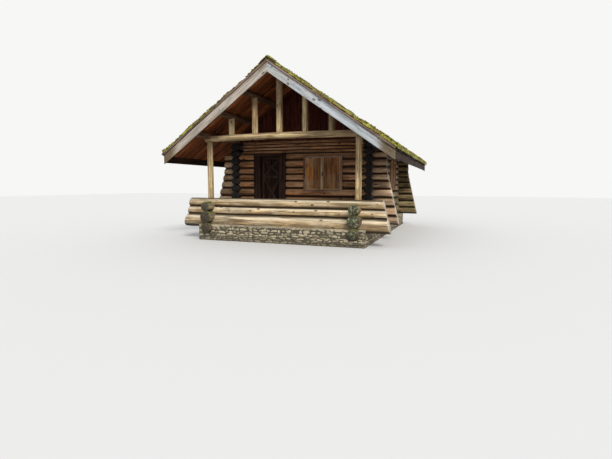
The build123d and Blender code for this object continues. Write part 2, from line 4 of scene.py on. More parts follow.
import bmesh
import bpy
from mathutils import Matrix, Vector, noise


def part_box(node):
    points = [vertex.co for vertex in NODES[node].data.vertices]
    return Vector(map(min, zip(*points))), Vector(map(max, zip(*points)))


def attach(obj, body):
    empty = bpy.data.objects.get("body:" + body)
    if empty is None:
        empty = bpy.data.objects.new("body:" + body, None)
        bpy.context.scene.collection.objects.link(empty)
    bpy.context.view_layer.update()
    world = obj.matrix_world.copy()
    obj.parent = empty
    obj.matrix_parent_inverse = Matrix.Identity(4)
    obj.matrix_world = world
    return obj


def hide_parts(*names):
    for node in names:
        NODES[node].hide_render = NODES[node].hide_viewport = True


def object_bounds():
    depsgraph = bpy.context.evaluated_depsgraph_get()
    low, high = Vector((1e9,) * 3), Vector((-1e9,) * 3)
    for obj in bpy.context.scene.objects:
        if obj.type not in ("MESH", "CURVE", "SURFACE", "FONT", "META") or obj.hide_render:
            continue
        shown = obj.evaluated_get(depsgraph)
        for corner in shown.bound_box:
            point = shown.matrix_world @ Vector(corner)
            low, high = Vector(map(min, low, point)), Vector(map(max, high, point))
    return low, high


bl_info = {
    "name": "Log Cabin Dresser",
    "version": (1, 0, 0),
    "blender": (4, 5, 0),
    "location": "3D View > Sidebar > Cabin",
    "description": "Dresses the frame of a round-log cabin with timber, stone, shakes and moss",
    "category": "Object",
}

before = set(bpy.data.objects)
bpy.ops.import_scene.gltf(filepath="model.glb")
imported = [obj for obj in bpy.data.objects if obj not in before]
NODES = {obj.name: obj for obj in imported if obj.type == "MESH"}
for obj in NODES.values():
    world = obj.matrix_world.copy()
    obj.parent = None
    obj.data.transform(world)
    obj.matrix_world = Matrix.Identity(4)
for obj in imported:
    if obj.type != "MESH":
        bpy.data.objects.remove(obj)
CAD_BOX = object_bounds()

# Photograph's camera, worked out from the edges of the roof and walls
CAMERA_PLACE = (5.525, -16.450, 1.887)
CAMERA_YAW = 0.355
CAMERA_PITCH = 0.107
CAMERA_ROLL = -0.003
CAMERA_FOCAL_PIXELS = 415.1
PHOTO_WIDTH = 612.0
SENSOR_WIDTH = 36.0

X, Y, Z = range(3)
SLOPES = ((1, "right"), (-1, "left"))
FINISH_SUFFIX = "_finish"

# Slot, look and nodes of the round timber, in the order in which it is laid
ROUND_TIMBER = (
    ("porch_log", "porch_log", ("porch_front_logs",)),
    ("porch_log", "corner_log", ("left_low_logs", "right_low_logs")),
    ("wall_log", "wall_log", (
        "front_wall_sill_log", "front_wall_left_logs", "front_wall_right_logs", "front_wall_poles")),
    ("wall_log", "side_log", ("left_wall_logs", "right_wall_logs")),
    ("wall_log", "back_log", ("back_wall_logs", "back_wall_poles")),
    ("peeled_pole", "peeled_pole", (
        "left_porch_post", "right_porch_post", "king_post", "short_posts", "tie_beam")),
    ("purlin_wood", "purlin_wood", ("ridge_purlin", "purlins", "wall_plates")),
)
TIE_BEAM_BOW = 0.03
LEAST_SLANT = 0.05
LOG_END_EASE = 0.07
# Log walls that a window is cut through
WINDOWS = {
    "front_wall_right_logs": "front_window_frame",
    "right_wall_logs": "right_window_frame",
    "left_wall_logs": "left_window_frame",
}
# Nodes that keep their own shape under a better finish
KEPT_NODES = {
    "stone_foundation": "mortar",
    "door_straps": "dark_iron",
    "hinge_pintles": "dark_iron",
    "door_handle": "worn_steel",
}

# Foundation stones, and the level of the mortar ledge over them
LEDGE_LEVEL = 0.51
STONE_DEPTH = 0.10
SHORTEST_STONE = 0.05
LOWEST_ROW = 0.04
CORNER_OVERRUN = 0.01
LOGS_ON_STONE = (
    "left_low_logs", "right_low_logs", "porch_front_logs", "front_wall_sill_log", "back_wall_logs")

# Gable and roof boards, which run on past the ridge and eave until they are cut plumb
GABLE_SHEET = 0.006
DECK_THICKNESS = 0.042
BARGE_DEPTH = 0.24
EAVE_OVERRUN = 0.2
RIDGE_OVERRUN = 0.1
BARGE_OVERRUN = 0.3
VERGE_STRIP_REACH = (-0.010, 0.038)
VERGE_STRIP_LEVELS = (0.003, 0.044)

# Shakes, with heights measured out from the roof boards
SHAKE_TOP = 0.085
SHAKE_BUTT_LIFT = SHAKE_TOP - 0.028
SHAKE_LENGTH = 0.80
SHAKE_SETBACK = 0.012
SHAKE_JOINT = 0.006
STARTER_LENGTH = 0.33
STARTER_LIFT = 0.004
LAST_COURSE = 0.15
RIDGE_CAP_RUN = 0.26
CAP_SHAKE_LENGTH = 0.42
CAP_THICKNESS = 0.020
CAP_EXPOSURE = 0.30
CAP_LIFT = SHAKE_TOP + 0.022
CAP_TILT = 0.05

# Moss, with heights measured out from the roof boards
MOSS_BASE = SHAKE_TOP - 0.018
MOSS_HEM = SHAKE_TOP - 0.035
BARE_LEVEL = SHAKE_TOP - 0.045
MOSS_SETBACK = 0.030
MOSS_EDGE_GAP = 0.002
TUFT_INSET = 0.03
LEAST_TUFT_MOSS = 0.02
SLOPE_TUFTS = 1500
RIDGE_TUFTS = 1500
GABLE_END_TUFTS = 1100

# Shutters and door
SHUTTER_BOARD = 0.185
SIDE_STRIP = 0.032
CROSS_STRIP = 0.035
STRIP_THICKNESS = 0.009
JOINT_STRIPS = ((-0.058, -0.008), (0.008, 0.058))
DOOR_BOARD = 0.16

# Light and floor of the stage
FLOOR_REACH = 60.0
SKY_STRENGTH = 0.72
SUN_STRENGTH = 1.95
SUN_SPREAD = math.radians(18)
SUN_TURN = (math.radians(52), 0, math.radians(38))


class CabinSettings(bpy.types.PropertyGroup):
    """Sizes and colours that a user would change"""

    ring_step: bpy.props.FloatProperty(
        name="Ring Step", description="Distance between the rings of points along a log",
        default=0.14, min=0.05, unit="LENGTH")
    log_sides: bpy.props.IntProperty(
        name="Log Sides", description="Faces round a log", default=20, min=8, max=48)
    log_wobble: bpy.props.FloatProperty(
        name="Log Wobble",
        description="How far a log's face wanders from a true round, as a share of its radius",
        default=0.035, subtype="FACTOR")
    stone_height: bpy.props.FloatProperty(
        name="Stone Height", description="Usual height of a foundation stone",
        default=0.082, unit="LENGTH")
    stone_length: bpy.props.FloatProperty(
        name="Stone Length", description="Usual length of a foundation stone",
        default=0.175, unit="LENGTH")
    board_gap: bpy.props.FloatProperty(
        name="Board Gap", description="Open joint between two boards", default=0.006, unit="LENGTH")
    floor_board: bpy.props.FloatProperty(
        name="Floor Board", description="Width of a floor board", default=0.16, unit="LENGTH")
    gable_board: bpy.props.FloatProperty(
        name="Gable Board", description="Width of a gable board", default=0.19, unit="LENGTH")
    roof_board: bpy.props.FloatProperty(
        name="Roof Board", description="Width of a board under the shakes", default=0.21, unit="LENGTH")
    shake_width: bpy.props.FloatProperty(
        name="Shake Width", description="Usual width of a split shake", default=0.15, unit="LENGTH")
    shake_exposure: bpy.props.FloatProperty(
        name="Shake Exposure", description="Length of a shake that shows below the next course",
        default=0.30, unit="LENGTH")
    moss_depth: bpy.props.FloatProperty(
        name="Moss Depth", description="Height of the moss cushions on the roof",
        default=0.085, unit="LENGTH")
    moss_step: bpy.props.FloatProperty(
        name="Moss Step", description="Distance between the points of the moss cover",
        default=0.045, unit="LENGTH")
    moss_colour: bpy.props.FloatVectorProperty(
        name="Moss", description="Bright green of fresh moss",
        default=(0.43, 0.42, 0.055), subtype="COLOR", min=0.0, max=1.0)
    porch_log_colour: bpy.props.FloatVectorProperty(
        name="Porch Logs", description="Pale colour of the peeled, weathered porch logs",
        default=(0.62, 0.42, 0.22), subtype="COLOR", min=0.0, max=1.0)
    wall_log_colour: bpy.props.FloatVectorProperty(
        name="Wall Logs", description="Warm colour of the sheltered wall logs",
        default=(0.37, 0.170, 0.072), subtype="COLOR", min=0.0, max=1.0)
    side_log_colour: bpy.props.FloatVectorProperty(
        name="Side Logs", description="Weathered colour of the side walls behind the porch",
        default=(0.60, 0.47, 0.31), subtype="COLOR", min=0.0, max=1.0)
    pole_colour: bpy.props.FloatVectorProperty(
        name="Poles", description="Colour of the peeled posts and tie beam",
        default=(0.70, 0.455, 0.235), subtype="COLOR", min=0.0, max=1.0)
    barge_colour: bpy.props.FloatVectorProperty(
        name="Barge Boards", description="Weathered grey of the barge boards",
        default=(0.60, 0.53, 0.45), subtype="COLOR", min=0.0, max=1.0)
    shutter_colour: bpy.props.FloatVectorProperty(
        name="Shutters", description="Oiled boards of the shutters",
        default=(0.39, 0.150, 0.034), subtype="COLOR", min=0.0, max=1.0)


def settings():
    """The cabin's settings on the current scene."""
    return bpy.context.scene.cabin_settings


# Shader helpers


def toned(colour, share, lift=0.0, limit=10.0):
    """A colour made darker or lighter, up to a limit."""
    return tuple(min(limit, share * part + lift) for part in colour)


class ShaderTree:
    """Places and links the nodes of one shader tree"""

    def __init__(self, inner):
        self.inner = inner

    def feed(self, socket, value):
        """Links a socket to another, or writes a number, a colour or a vector into it."""
        if isinstance(value, bpy.types.NodeSocket):
            self.inner.links.new(value, socket)
        elif socket.type == "RGBA":
            socket.default_value = (*value, 1.0)
        else:
            socket.default_value = value

    def node(self, kind, inputs, **choices):
        """Places a node, makes its choices, feeds its inputs and returns its outputs."""
        made = self.inner.nodes.new("ShaderNode" + kind)
        for name, value in choices.items():
            setattr(made, name, value)
        for name, value in inputs.items():
            self.feed(made.inputs[name], value)
        return made.outputs

    def group(self, name, inputs):
        """Places one of the cabin's node groups."""
        return self.node("Group", inputs, node_tree=bpy.data.node_groups[name])

    def calc(self, operation, first, second=0.0, clamp=False):
        """Result of a Math node."""
        return self.node("Math", {0: first, 1: second}, operation=operation, use_clamp=clamp)[0]

    def plus(self, first, second):
        return self.calc("ADD", first, second)

    def minus(self, first, second):
        return self.calc("SUBTRACT", first, second)

    def times(self, first, second):
        return self.calc("MULTIPLY", first, second)

    def most(self, first, second):
        return self.calc("MAXIMUM", first, second)

    def size(self, value):
        return self.calc("ABSOLUTE", value)

    def vector(self, operation, first, second=(0.0, 0.0, 0.0)):
        """Vector that a Vector Math node gives."""
        return self.node("VectorMath", {0: first, 1: second}, operation=operation)[0]

    def stretch(self, vector, along, across):
        """Vector scaled by one number along the grain and by another across it."""
        return self.vector("MULTIPLY", vector, (along, across, across))

    def axes(self, vector):
        """The X, Y and Z of a vector."""
        return self.node("SeparateXYZ", {0: vector})

    def mix(self, factor, first, second, blend="MIX"):
        """Mix of two colours."""
        return self.node("Mix", {0: factor, 6: first, 7: second}, data_type="RGBA", blend_type=blend)[2]

    def ramp(self, value, low, high, share=1.0):
        """Mask that rises to its share while a value goes from low to high."""
        inputs = {"Value": value, "From Min": low, "From Max": high}
        mask = self.node("MapRange", inputs, interpolation_type="SMOOTHSTEP")[0]
        return mask if share == 1.0 else self.times(mask, share)

    def noise(self, vector, scale, detail=5.0, roughness=0.6, distortion=0.0):
        """Value of a Noise texture."""
        return self.node("TexNoise", {
            "Vector": vector, "Scale": scale, "Detail": detail, "Roughness": roughness,
            "Distortion": distortion})["Fac"]

    def place(self):
        """Object coordinates."""
        return self.node("TexCoord", {})["Object"]

    def upward(self):
        """How far the surface looks up."""
        return self.axes(self.node("NewGeometry", {})["Normal"])["Z"]

    def attribute(self, name, output="Fac"):
        """An attribute of the piece's own mesh."""
        return self.node("Attribute", {}, attribute_name=name)[output]


class GroupTree(ShaderTree):
    """Shader node group; an input without a default is a vector"""

    def __init__(self, name, inputs):
        super().__init__(bpy.data.node_groups.new(name, "ShaderNodeTree"))
        for label, default in inputs.items():
            kind = "NodeSocketVector" if default is None else "NodeSocketFloat"
            socket = self.inner.interface.new_socket(name=label, in_out="INPUT", socket_type=kind)
            if default is not None:
                socket.default_value = default
        self.given = self.inner.nodes.new("NodeGroupInput").outputs

    def give(self, results):
        """Puts named values out of the group."""
        for label in results:
            self.inner.interface.new_socket(name=label, in_out="OUTPUT", socket_type="NodeSocketFloat")
        end = self.inner.nodes.new("NodeGroupOutput")
        for label, value in results.items():
            self.feed(end.inputs[label], value)


class SurfaceTree(ShaderTree):
    """Shader tree of a material with a Principled BSDF and a bump"""

    def __init__(self, name, roughness, bump_strength, bump_distance):
        material = bpy.data.materials.new(name + FINISH_SUFFIX)
        material.use_nodes = True
        super().__init__(material.node_tree)
        self.shader = self.inner.nodes["Principled BSDF"].inputs
        self.feed(self.shader["Roughness"], roughness)
        bump = self.inner.nodes.new("ShaderNodeBump")
        self.feed(bump.inputs["Strength"], bump_strength)
        self.feed(bump.inputs["Distance"], bump_distance)
        self.feed(self.shader["Normal"], bump.outputs[0])
        self.height = bump.inputs["Height"]

    def show(self, base, height):
        """Feeds the finished colour and height."""
        self.feed(self.shader["Base Color"], base)
        self.feed(self.height, height)


def build_grain_group():
    """Wood grain along the piece: fibres, drying checks, knots, rings, and the painted shade where logs meet
    and under each log.
    """
    tree = GroupTree("timber_grain", {"Timber": None, "End": 0.0, "Knot Share": 0.45})
    timber = tree.given["Timber"]
    end_face = tree.given["End"]
    side = tree.calc("SUBTRACT", 1.0, end_face, clamp=True)
    fibre = tree.noise(tree.stretch(timber, 1.6, 34.0), 1.6, 6.0, 0.65, 0.3)
    streak = tree.noise(tree.stretch(timber, 0.45, 9.0), 1.7, 5.0, 0.62, 0.6)
    stain = tree.noise(tree.stretch(timber, 0.8, 2.6), 1.3, 4.0, 0.6)

    # Checks are dark lines where a long noise crosses its middle
    check_noise = tree.noise(tree.stretch(timber, 0.55, 9.0), 1.5, 3.0, 0.5, 0.4)
    line = tree.ramp(tree.size(tree.minus(check_noise, 0.5)), 0.016, 0.003)
    patchy = tree.ramp(tree.noise(tree.stretch(timber, 0.5, 3.0), 2.0, 2.0), 0.50, 0.62)
    checks = tree.times(tree.times(line, patchy), side)

    # Knots sit in some of the cells of a pattern
    cells = tree.node("TexVoronoi", {"Scale": 1.0, "Vector": tree.stretch(timber, 2.6, 4.6)})
    drawn = tree.node("SeparateColor", {0: cells["Color"]})[0]
    some = tree.calc("LESS_THAN", drawn, tree.given["Knot Share"])
    knots = tree.times(tree.times(tree.ramp(cells["Distance"], 0.19, 0.11), some), side)

    # Painted shade with a little dirt: dark where a log lies on the one below and under the one above, wider
    # on the underside where shade falls
    across = tree.stretch(timber, 0.0, 1.0)
    radius = tree.node("VectorMath", {0: across}, operation="LENGTH")["Value"]
    level = tree.axes(timber)["Z"]
    rise = tree.calc("DIVIDE", tree.most(level, tree.times(level, -1.3)), radius)
    ragged = tree.times(tree.minus(fibre, 0.5), 0.12)
    seam = tree.times(tree.ramp(tree.plus(rise, ragged), 0.60, 0.90), side)

    # A sawn end has growth rings and splits that run out from its heart
    uneven = tree.plus(radius, tree.times(tree.noise(across, 6.0, 2.0), 0.02))
    wave = tree.calc("SINE", tree.times(uneven, 520.0))
    rings = tree.times(tree.ramp(wave, -0.2, 1.0), end_face)
    spoke = tree.stretch(tree.vector("NORMALIZE", across), 1.5, 1.5)
    split = tree.noise(tree.vector("ADD", spoke, tree.stretch(timber, 0.3, 1.2)), 1.6, 3.0, 0.6)
    split = tree.times(tree.ramp(tree.size(tree.minus(split, 0.5)), 0.022, 0.006), end_face)
    checks = tree.most(checks, split)
    dents = tree.plus(checks, tree.times(rings, 0.15))
    tree.give({
        "Fibre": fibre, "Streak": streak, "Checks": checks, "Knots": knots, "Rings": rings,
        "Stain": stain, "Seam": seam, "Height": tree.minus(tree.times(fibre, 0.6), dents)})


def build_growth_group():
    """Moss or lichen, in patches that favour what looks up."""
    tree = GroupTree("moss_growth", {"Amount": 0.5, "Scale": 3.0, "Upward": 0.5})
    place = tree.place()
    patches = tree.noise(place, tree.given["Scale"], 7.0, 0.65)
    level = tree.plus(patches, tree.times(tree.upward(), tree.given["Upward"]))
    level = tree.plus(level, tree.minus(tree.given["Amount"], 1.0))
    tree.give({
        "Mask": tree.ramp(level, 0.02, 0.14), "Tint": tree.noise(place, 14.0, 4.0),
        "Height": tree.noise(place, 90.0, 4.0, 0.7)})


def build_grime_group():
    """Damp that gathers near the ground, and broad patches of wear."""
    tree = GroupTree("damp_grime", {"Level": 0.6, "Scale": 2.0})
    place = tree.place()
    patches = tree.noise(place, tree.given["Scale"], 5.0, 0.5)
    drop = tree.calc("DIVIDE", tree.axes(place)["Z"], tree.given["Level"])
    wet = tree.minus(tree.plus(patches, 0.45), drop)
    tree.give({"Damp": tree.ramp(wet, 0.0, 0.6), "Patch": patches})


def build_zone_group():
    """Parts of the cabin that take a colour of their own, by real weathering and, for Outer and Behind, by
    painted light and shade, and all that is outside the room.
    """
    tree = GroupTree("weather_and_light_zone", {})
    place = tree.place()
    x, y, z = tree.axes(place)
    ragged = tree.times(tree.noise(place, 2.5, 4.0), 0.5)
    aside = tree.plus(tree.size(x), ragged)
    behind = tree.ramp(tree.plus(y, ragged), -1.6, -1.1)
    beside_room = tree.calc("GREATER_THAN", tree.size(x), middle_of("right_wall_logs").x)
    behind_room = tree.calc("GREATER_THAN", y, middle_of("back_wall_logs").y)
    above_room = tree.calc("GREATER_THAN", z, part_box("back_gable")[0].z)
    before_room = tree.calc("LESS_THAN", y, middle_of("front_wall_sill_log").y)
    open_air = tree.most(tree.most(beside_room, behind_room), above_room)
    tree.give({
        "Outer": tree.most(tree.ramp(aside, 2.6, 3.1), behind),
        "Behind": tree.ramp(y, -2.2, -2.0),
        "Right": tree.ramp(x, -0.02, 0.02),
        "Eaves": tree.ramp(aside, 3.45, 3.85),
        "Open Air": tree.most(open_air, before_room)})


def timber_material(name, colour, grey_colour, tone=0.35, bleach=0.0, grey=0.2, end_colour=None,
                    moss=0.0, damp=0.0, stain=0.6, seam=0.0, roughness=0.75, gloss=0.25, knots=0.45,
                    contrast=0.6, zone=None, zone_colour=None, eaves_colour=None, end_moss=0.0):
    """Wood of one finish, with its own tone for each piece of timber."""
    tree = SurfaceTree(name, roughness, 0.5, 0.012)
    tree.feed(tree.shader["Specular IOR Level"], gloss)
    piece_tone = tree.attribute("tone")
    end_face = tree.attribute("end_grain")
    grain = tree.group("timber_grain", {
        "Timber": tree.attribute("timber", "Vector"), "End": end_face, "Knot Share": knots})
    weather_and_light = tree.group("weather_and_light_zone", {})
    grime = tree.group("damp_grime", {"Scale": 1.7, "Level": 0.9})

    dark = toned(colour, 1.0 - contrast)
    light = toned(colour, 1.0 + 0.75 * contrast, 0.01, 0.9)
    # A zone's own colour; for Outer and Behind this is partly painted light and shade
    if zone:
        dark = tree.mix(weather_and_light[zone], dark, toned(zone_colour, 1.0 - 0.9 * contrast))
        light = tree.mix(weather_and_light[zone], light, toned(zone_colour, 1.0 + 0.6 * contrast, 0.0, 0.9))
    base = tree.mix(tree.ramp(grain["Streak"], 0.36, 0.64), dark, light)
    fine = tree.mix(tree.ramp(grain["Fibre"], 0.35, 0.65), (0.72, 0.70, 0.68), (1.12, 1.12, 1.12))
    base = tree.mix(1.0, base, fine, "MULTIPLY")
    base = tree.mix(tree.ramp(grain["Stain"], 0.48, 0.62, stain), base, toned(colour, 0.45))

    # Real grey wear patches; faces that look up add a painted highlight in the same pale colour, partly real
    # sun bleaching
    worn = tree.times(tree.ramp(grime["Patch"], 0.42, 0.62, grey), tree.plus(piece_tone, 0.5))
    if bleach:
        worn = tree.most(worn, tree.ramp(tree.upward(), 0.0, 0.75, bleach))
    worn = tree.times(worn, tree.ramp(grain["Streak"], 0.28, 0.55))
    base = tree.mix(worn, base, grey_colour)
    if eaves_colour:
        lined = tree.mix(tree.ramp(grain["Fibre"], 0.4, 0.6), toned(eaves_colour, 0.45), eaves_colour)
        base = tree.mix(tree.times(weather_and_light["Eaves"], 0.9), base, lined)
    base = tree.mix(tree.times(grain["Knots"], 0.85), base, toned(colour, 0.18))

    if end_colour:
        cut = tree.mix(tree.times(grain["Rings"], 0.6), end_colour, toned(end_colour, 0.5))
        cut = tree.mix(tree.ramp(grime["Patch"], 0.45, 0.6, 0.4), cut, toned(end_colour, 0.35))
        if end_moss:
            lichen = tree.group("moss_growth", {"Amount": end_moss, "Scale": 13.0, "Upward": 0.0})
            pale = tree.mix(tree.ramp(lichen["Tint"], 0.40, 0.62), (0.045, 0.070, 0.022), (0.40, 0.46, 0.28))
            reached = tree.plus(tree.times(weather_and_light["Right"], 0.75), 0.15)
            cut = tree.mix(tree.times(lichen["Mask"], reached), cut, pale)
        base = tree.mix(end_face, base, cut)

    shade = tree.plus(tree.times(piece_tone, tone), 1.0 - tone / 2)
    base = tree.node("VectorMath", {0: base, "Scale": shade}, operation="SCALE")[0]
    # Painted shade where logs meet and under each log, with a little dirt
    if seam:
        base = tree.mix(tree.times(grain["Seam"], seam), base, toned(colour, 0.12))
    base = tree.mix(tree.times(grain["Checks"], 0.85), base, toned(colour, 0.10))
    if damp:
        base = tree.mix(tree.times(grime["Damp"], damp), base, (0.07, 0.055, 0.035))
    height = grain["Height"]
    if moss:
        growth = tree.group("moss_growth", {"Amount": moss, "Scale": 2.4, "Upward": 0.35})
        grown = growth["Mask"]
        if zone == "Outer":
            grown = tree.times(grown, weather_and_light["Outer"])
        grown = tree.times(grown, weather_and_light["Open Air"])
        green = tree.mix(growth["Tint"], (0.05, 0.065, 0.018), (0.20, 0.21, 0.06))
        base = tree.mix(grown, base, green)
        height = tree.plus(height, tree.times(growth["Height"], grown))
    tree.show(base, height)


def stone_material(name, first, second, third, moss):
    """Field stone, one tone a stone, with lichen and a little moss."""
    tree = SurfaceTree(name, 0.85, 0.7, 0.02)
    place = tree.place()
    tone = tree.attribute("tone")
    grime = tree.group("damp_grime", {"Scale": 3.0, "Level": 0.22})
    growth = tree.group("moss_growth", {"Amount": moss, "Scale": 2.0, "Upward": 0.25})
    mottle = tree.noise(place, 22.0, 6.0, 0.7)
    base = tree.mix(tree.ramp(tone, 0.1, 0.6), first, second)
    base = tree.mix(tree.ramp(tone, 0.75, 0.95), base, third)
    base = tree.mix(tree.ramp(mottle, 0.4, 0.7, 0.5), base, toned(first, 0.45))
    lichen = tree.ramp(tree.noise(place, 7.0, 6.0, 0.7), 0.56, 0.66, 0.45)
    base = tree.mix(lichen, base, (0.52, 0.53, 0.44))
    green = tree.mix(growth["Tint"], (0.10, 0.12, 0.03), (0.28, 0.30, 0.08))
    base = tree.mix(growth["Mask"], base, green)
    base = tree.mix(tree.times(grime["Damp"], 0.6), base, (0.08, 0.065, 0.05))
    tree.show(base, tree.plus(mottle, growth["Height"]))


def mortar_material(name, joint, ledge):
    """Mortar, near black in the joints as painted shade, and pale where it is smoothed off on top."""
    tree = SurfaceTree(name, 0.9, 0.6, 0.015)
    place = tree.place()
    sand = tree.noise(place, 35.0, 6.0, 0.7)
    broad = tree.noise(place, 3.0, 4.0)
    # Painted shade: the side faces in the recessed joints are near black
    side = tree.mix(broad, joint, toned(joint, 1.8))
    top = tree.mix(tree.ramp(broad, 0.4, 0.6), ledge, toned(ledge, 0.6))
    on_ledge = tree.ramp(tree.axes(place)["Z"], LEDGE_LEVEL - 0.015, LEDGE_LEVEL)
    base = tree.mix(tree.most(tree.ramp(tree.upward(), 0.3, 0.7), on_ledge), side, top)
    base = tree.mix(tree.times(sand, 0.5), base, toned(ledge, 0.4))
    tree.show(base, sand)


def moss_material(name, fresh):
    """Deep cushion moss, dark in its hollows as painted shade, bright on its tips, partly fresh growth and
    partly painted highlight, and brown where it is dry.
    """
    tree = SurfaceTree(name, 0.95, 1.0, 0.03)
    place = tree.place()
    dry = tree.ramp(tree.noise(place, 1.6, 5.0, 0.6), 0.46, 0.60, 0.80)
    tufts = tree.noise(place, 17.0, 5.0, 0.70)
    fine = tree.noise(place, 120.0, 3.0, 0.7)
    clumps = tree.noise(place, 4.5, 4.0, 0.6)
    grown = tree.plus(tree.times(tufts, 0.55), tree.times(clumps, 0.45))
    # Painted shade in the low parts of the cushions; the raised tips below get a painted highlight, partly
    # fresh growth
    base = tree.mix(tree.ramp(grown, 0.40, 0.56), toned(fresh, 0.14), fresh)
    base = tree.mix(dry, base, (0.19, 0.125, 0.040))
    base = tree.mix(tree.ramp(grown, 0.53, 0.62, 0.5), base, (0.66, 0.64, 0.20))
    base = tree.mix(tree.ramp(fine, 0.55, 0.75, 0.35), base, (0.60, 0.60, 0.16))
    tree.show(base, tree.plus(tufts, tree.times(fine, 0.5)))


def metal_material(name, colour, metallic, roughness):
    """Ironwork with rust patches and worn places."""
    tree = SurfaceTree(name, roughness, 0.25, 0.002)
    tree.feed(tree.shader["Metallic"], metallic)
    patches = tree.noise(tree.place(), 40.0, 6.0, 0.7)
    base = tree.mix(tree.ramp(patches, 0.45, 0.62), colour, toned(colour, 0.6))
    base = tree.mix(tree.ramp(patches, 0.6, 0.7, 0.5), base, (0.17, 0.07, 0.03))
    tree.show(base, patches)


def studio_floor_material(seen_colour, bounce_colour):
    """Pale floor to the eye that throws back no more light than open ground does."""
    material = bpy.data.materials.new("studio_floor")
    material.use_nodes = True
    tree = ShaderTree(material.node_tree)
    shader = material.node_tree.nodes["Principled BSDF"].inputs
    tree.feed(shader["Roughness"], 0.9)
    tree.feed(shader["Specular IOR Level"], 0.1)
    path = tree.node("LightPath", {})
    seen = tree.most(path["Is Camera Ray"], path["Is Glossy Ray"])
    tree.feed(shader["Base Color"], tree.mix(seen, bounce_colour, seen_colour))
    return material


def build_wood_materials():
    """Every wood finish: its colour, its weathered colour, which on faces that look up is also a painted
    highlight, and how the two are spread.
    """
    picked = settings()
    wood = timber_material
    # Pale ends of porch and wall logs: real fresh-cut end grain, partly painted light on the lit ends
    wood("porch_log", tuple(picked.porch_log_colour), (0.88, 0.77, 0.57), tone=0.3, bleach=0.85,
         grey=0.3, end_colour=(0.88, 0.78, 0.62), moss=0.04, damp=0.45, seam=0.95, knots=0.75,
         contrast=0.7, stain=0.75)
    wood("corner_log", (0.27, 0.20, 0.11), (0.30, 0.26, 0.18), tone=0.3, bleach=0.4, grey=0.6,
         end_colour=(0.10, 0.080, 0.052), moss=0.36, damp=0.4, seam=0.9, end_moss=0.56)
    # Pale end colour, partly painted light on the lit ends
    # Wall logs out of the porch take the paler zone colour: partly real weathering, partly painted light
    # against the porch's shade
    wood("wall_log", tuple(picked.wall_log_colour), (0.56, 0.37, 0.22), tone=0.7, bleach=0.45,
         grey=0.35, end_colour=(0.86, 0.74, 0.60), damp=0.3, seam=0.97, contrast=0.7, zone="Outer",
         zone_colour=(0.60, 0.42, 0.27), moss=0.10)
    wood("back_log", (0.24, 0.17, 0.075), (0.40, 0.33, 0.18), tone=0.6, bleach=0.35, grey=0.35,
         end_colour=(0.60, 0.52, 0.38), damp=0.4, seam=0.97, contrast=0.7, moss=0.16)
    # Side logs and their ends are near black in front of the front wall, painted shade of the porch; behind
    # it they take their weathered colour
    wood("side_log", (0.040, 0.029, 0.025), (0.10, 0.085, 0.08), tone=0.5, grey=0.4,
         end_colour=(0.020, 0.017, 0.016), damp=0.4, seam=0.95, contrast=0.5, zone="Behind",
         zone_colour=tuple(picked.side_log_colour))
    wood("peeled_pole", tuple(picked.pole_colour), (0.78, 0.62, 0.41), tone=0.2, grey=0.4,
         bleach=0.4, end_colour=(0.66, 0.51, 0.34), stain=0.85, contrast=0.65)
    wood("purlin_wood", (0.14, 0.075, 0.038), (0.24, 0.16, 0.10), tone=0.3,
         end_colour=(0.30, 0.20, 0.12))
    wood("gable_board", (0.085, 0.017, 0.009), (0.12, 0.035, 0.022), tone=0.7, roughness=0.8, gloss=0.1)
    wood("roof_board", (0.34, 0.105, 0.034), (0.42, 0.17, 0.07), tone=1.1, stain=0.8, roughness=0.8,
         gloss=0.1)
    wood("barge_board", tuple(picked.barge_colour), (0.55, 0.52, 0.46), tone=0.1, grey=0.5,
         stain=0.22, moss=0.04, roughness=0.8, knots=1.0, contrast=0.34, zone="Right",
         zone_colour=(0.56, 0.61, 0.66), eaves_colour=(0.22, 0.15, 0.075))
    wood("verge_board", (0.30, 0.19, 0.145), (0.40, 0.33, 0.27), tone=0.2, grey=0.3, roughness=0.85)
    wood("eave_board", (0.035, 0.017, 0.009), (0.065, 0.042, 0.027), tone=0.1, grey=0.3, moss=0.20,
         gloss=0.1)
    wood("mossy_shake", (0.085, 0.055, 0.036), (0.17, 0.14, 0.115), tone=0.9, grey=0.5, moss=0.10,
         roughness=0.9, gloss=0.1)
    wood("shutter_board", tuple(picked.shutter_colour), (0.42, 0.27, 0.14), tone=1.1, grey=0.5,
         stain=1.0, roughness=0.6, knots=0.7)
    wood("shutter_trim", (0.52, 0.33, 0.17), (0.62, 0.45, 0.28), tone=0.3, grey=0.4, stain=0.5,
         roughness=0.6)
    wood("window_wood", (0.27, 0.15, 0.10), (0.42, 0.28, 0.20), tone=0.3, grey=0.4,
         end_colour=(0.18, 0.11, 0.07))
    wood("side_window_wood", (0.50, 0.26, 0.12), (0.62, 0.40, 0.24), tone=0.3, grey=0.4,
         end_colour=(0.30, 0.18, 0.11))
    wood("door_frame_wood", (0.030, 0.011, 0.006), (0.075, 0.035, 0.021), tone=0.4, grey=0.25,
         gloss=0.15)
    wood("door_wood", (0.026, 0.009, 0.005), (0.045, 0.022, 0.014), tone=0.7, gloss=0.15)
    wood("brace_wood", (0.060, 0.027, 0.017), (0.10, 0.055, 0.037), tone=0.4, grey=0.4, gloss=0.15)
    wood("floor_wood", (0.22, 0.15, 0.09), (0.34, 0.29, 0.22), tone=0.5, grey=0.4)


def finish(name):
    """A finish by its name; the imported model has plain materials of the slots' names."""
    return bpy.data.materials[name + FINISH_SUFFIX]


# Mesh helpers


def new_piece_mesh():
    """Empty mesh with the layers that the wood finishes read."""
    mesh = bmesh.new()
    mesh.verts.layers.float_vector.new("timber")
    mesh.faces.layers.float.new("tone")
    mesh.faces.layers.float.new("end_grain")
    return mesh


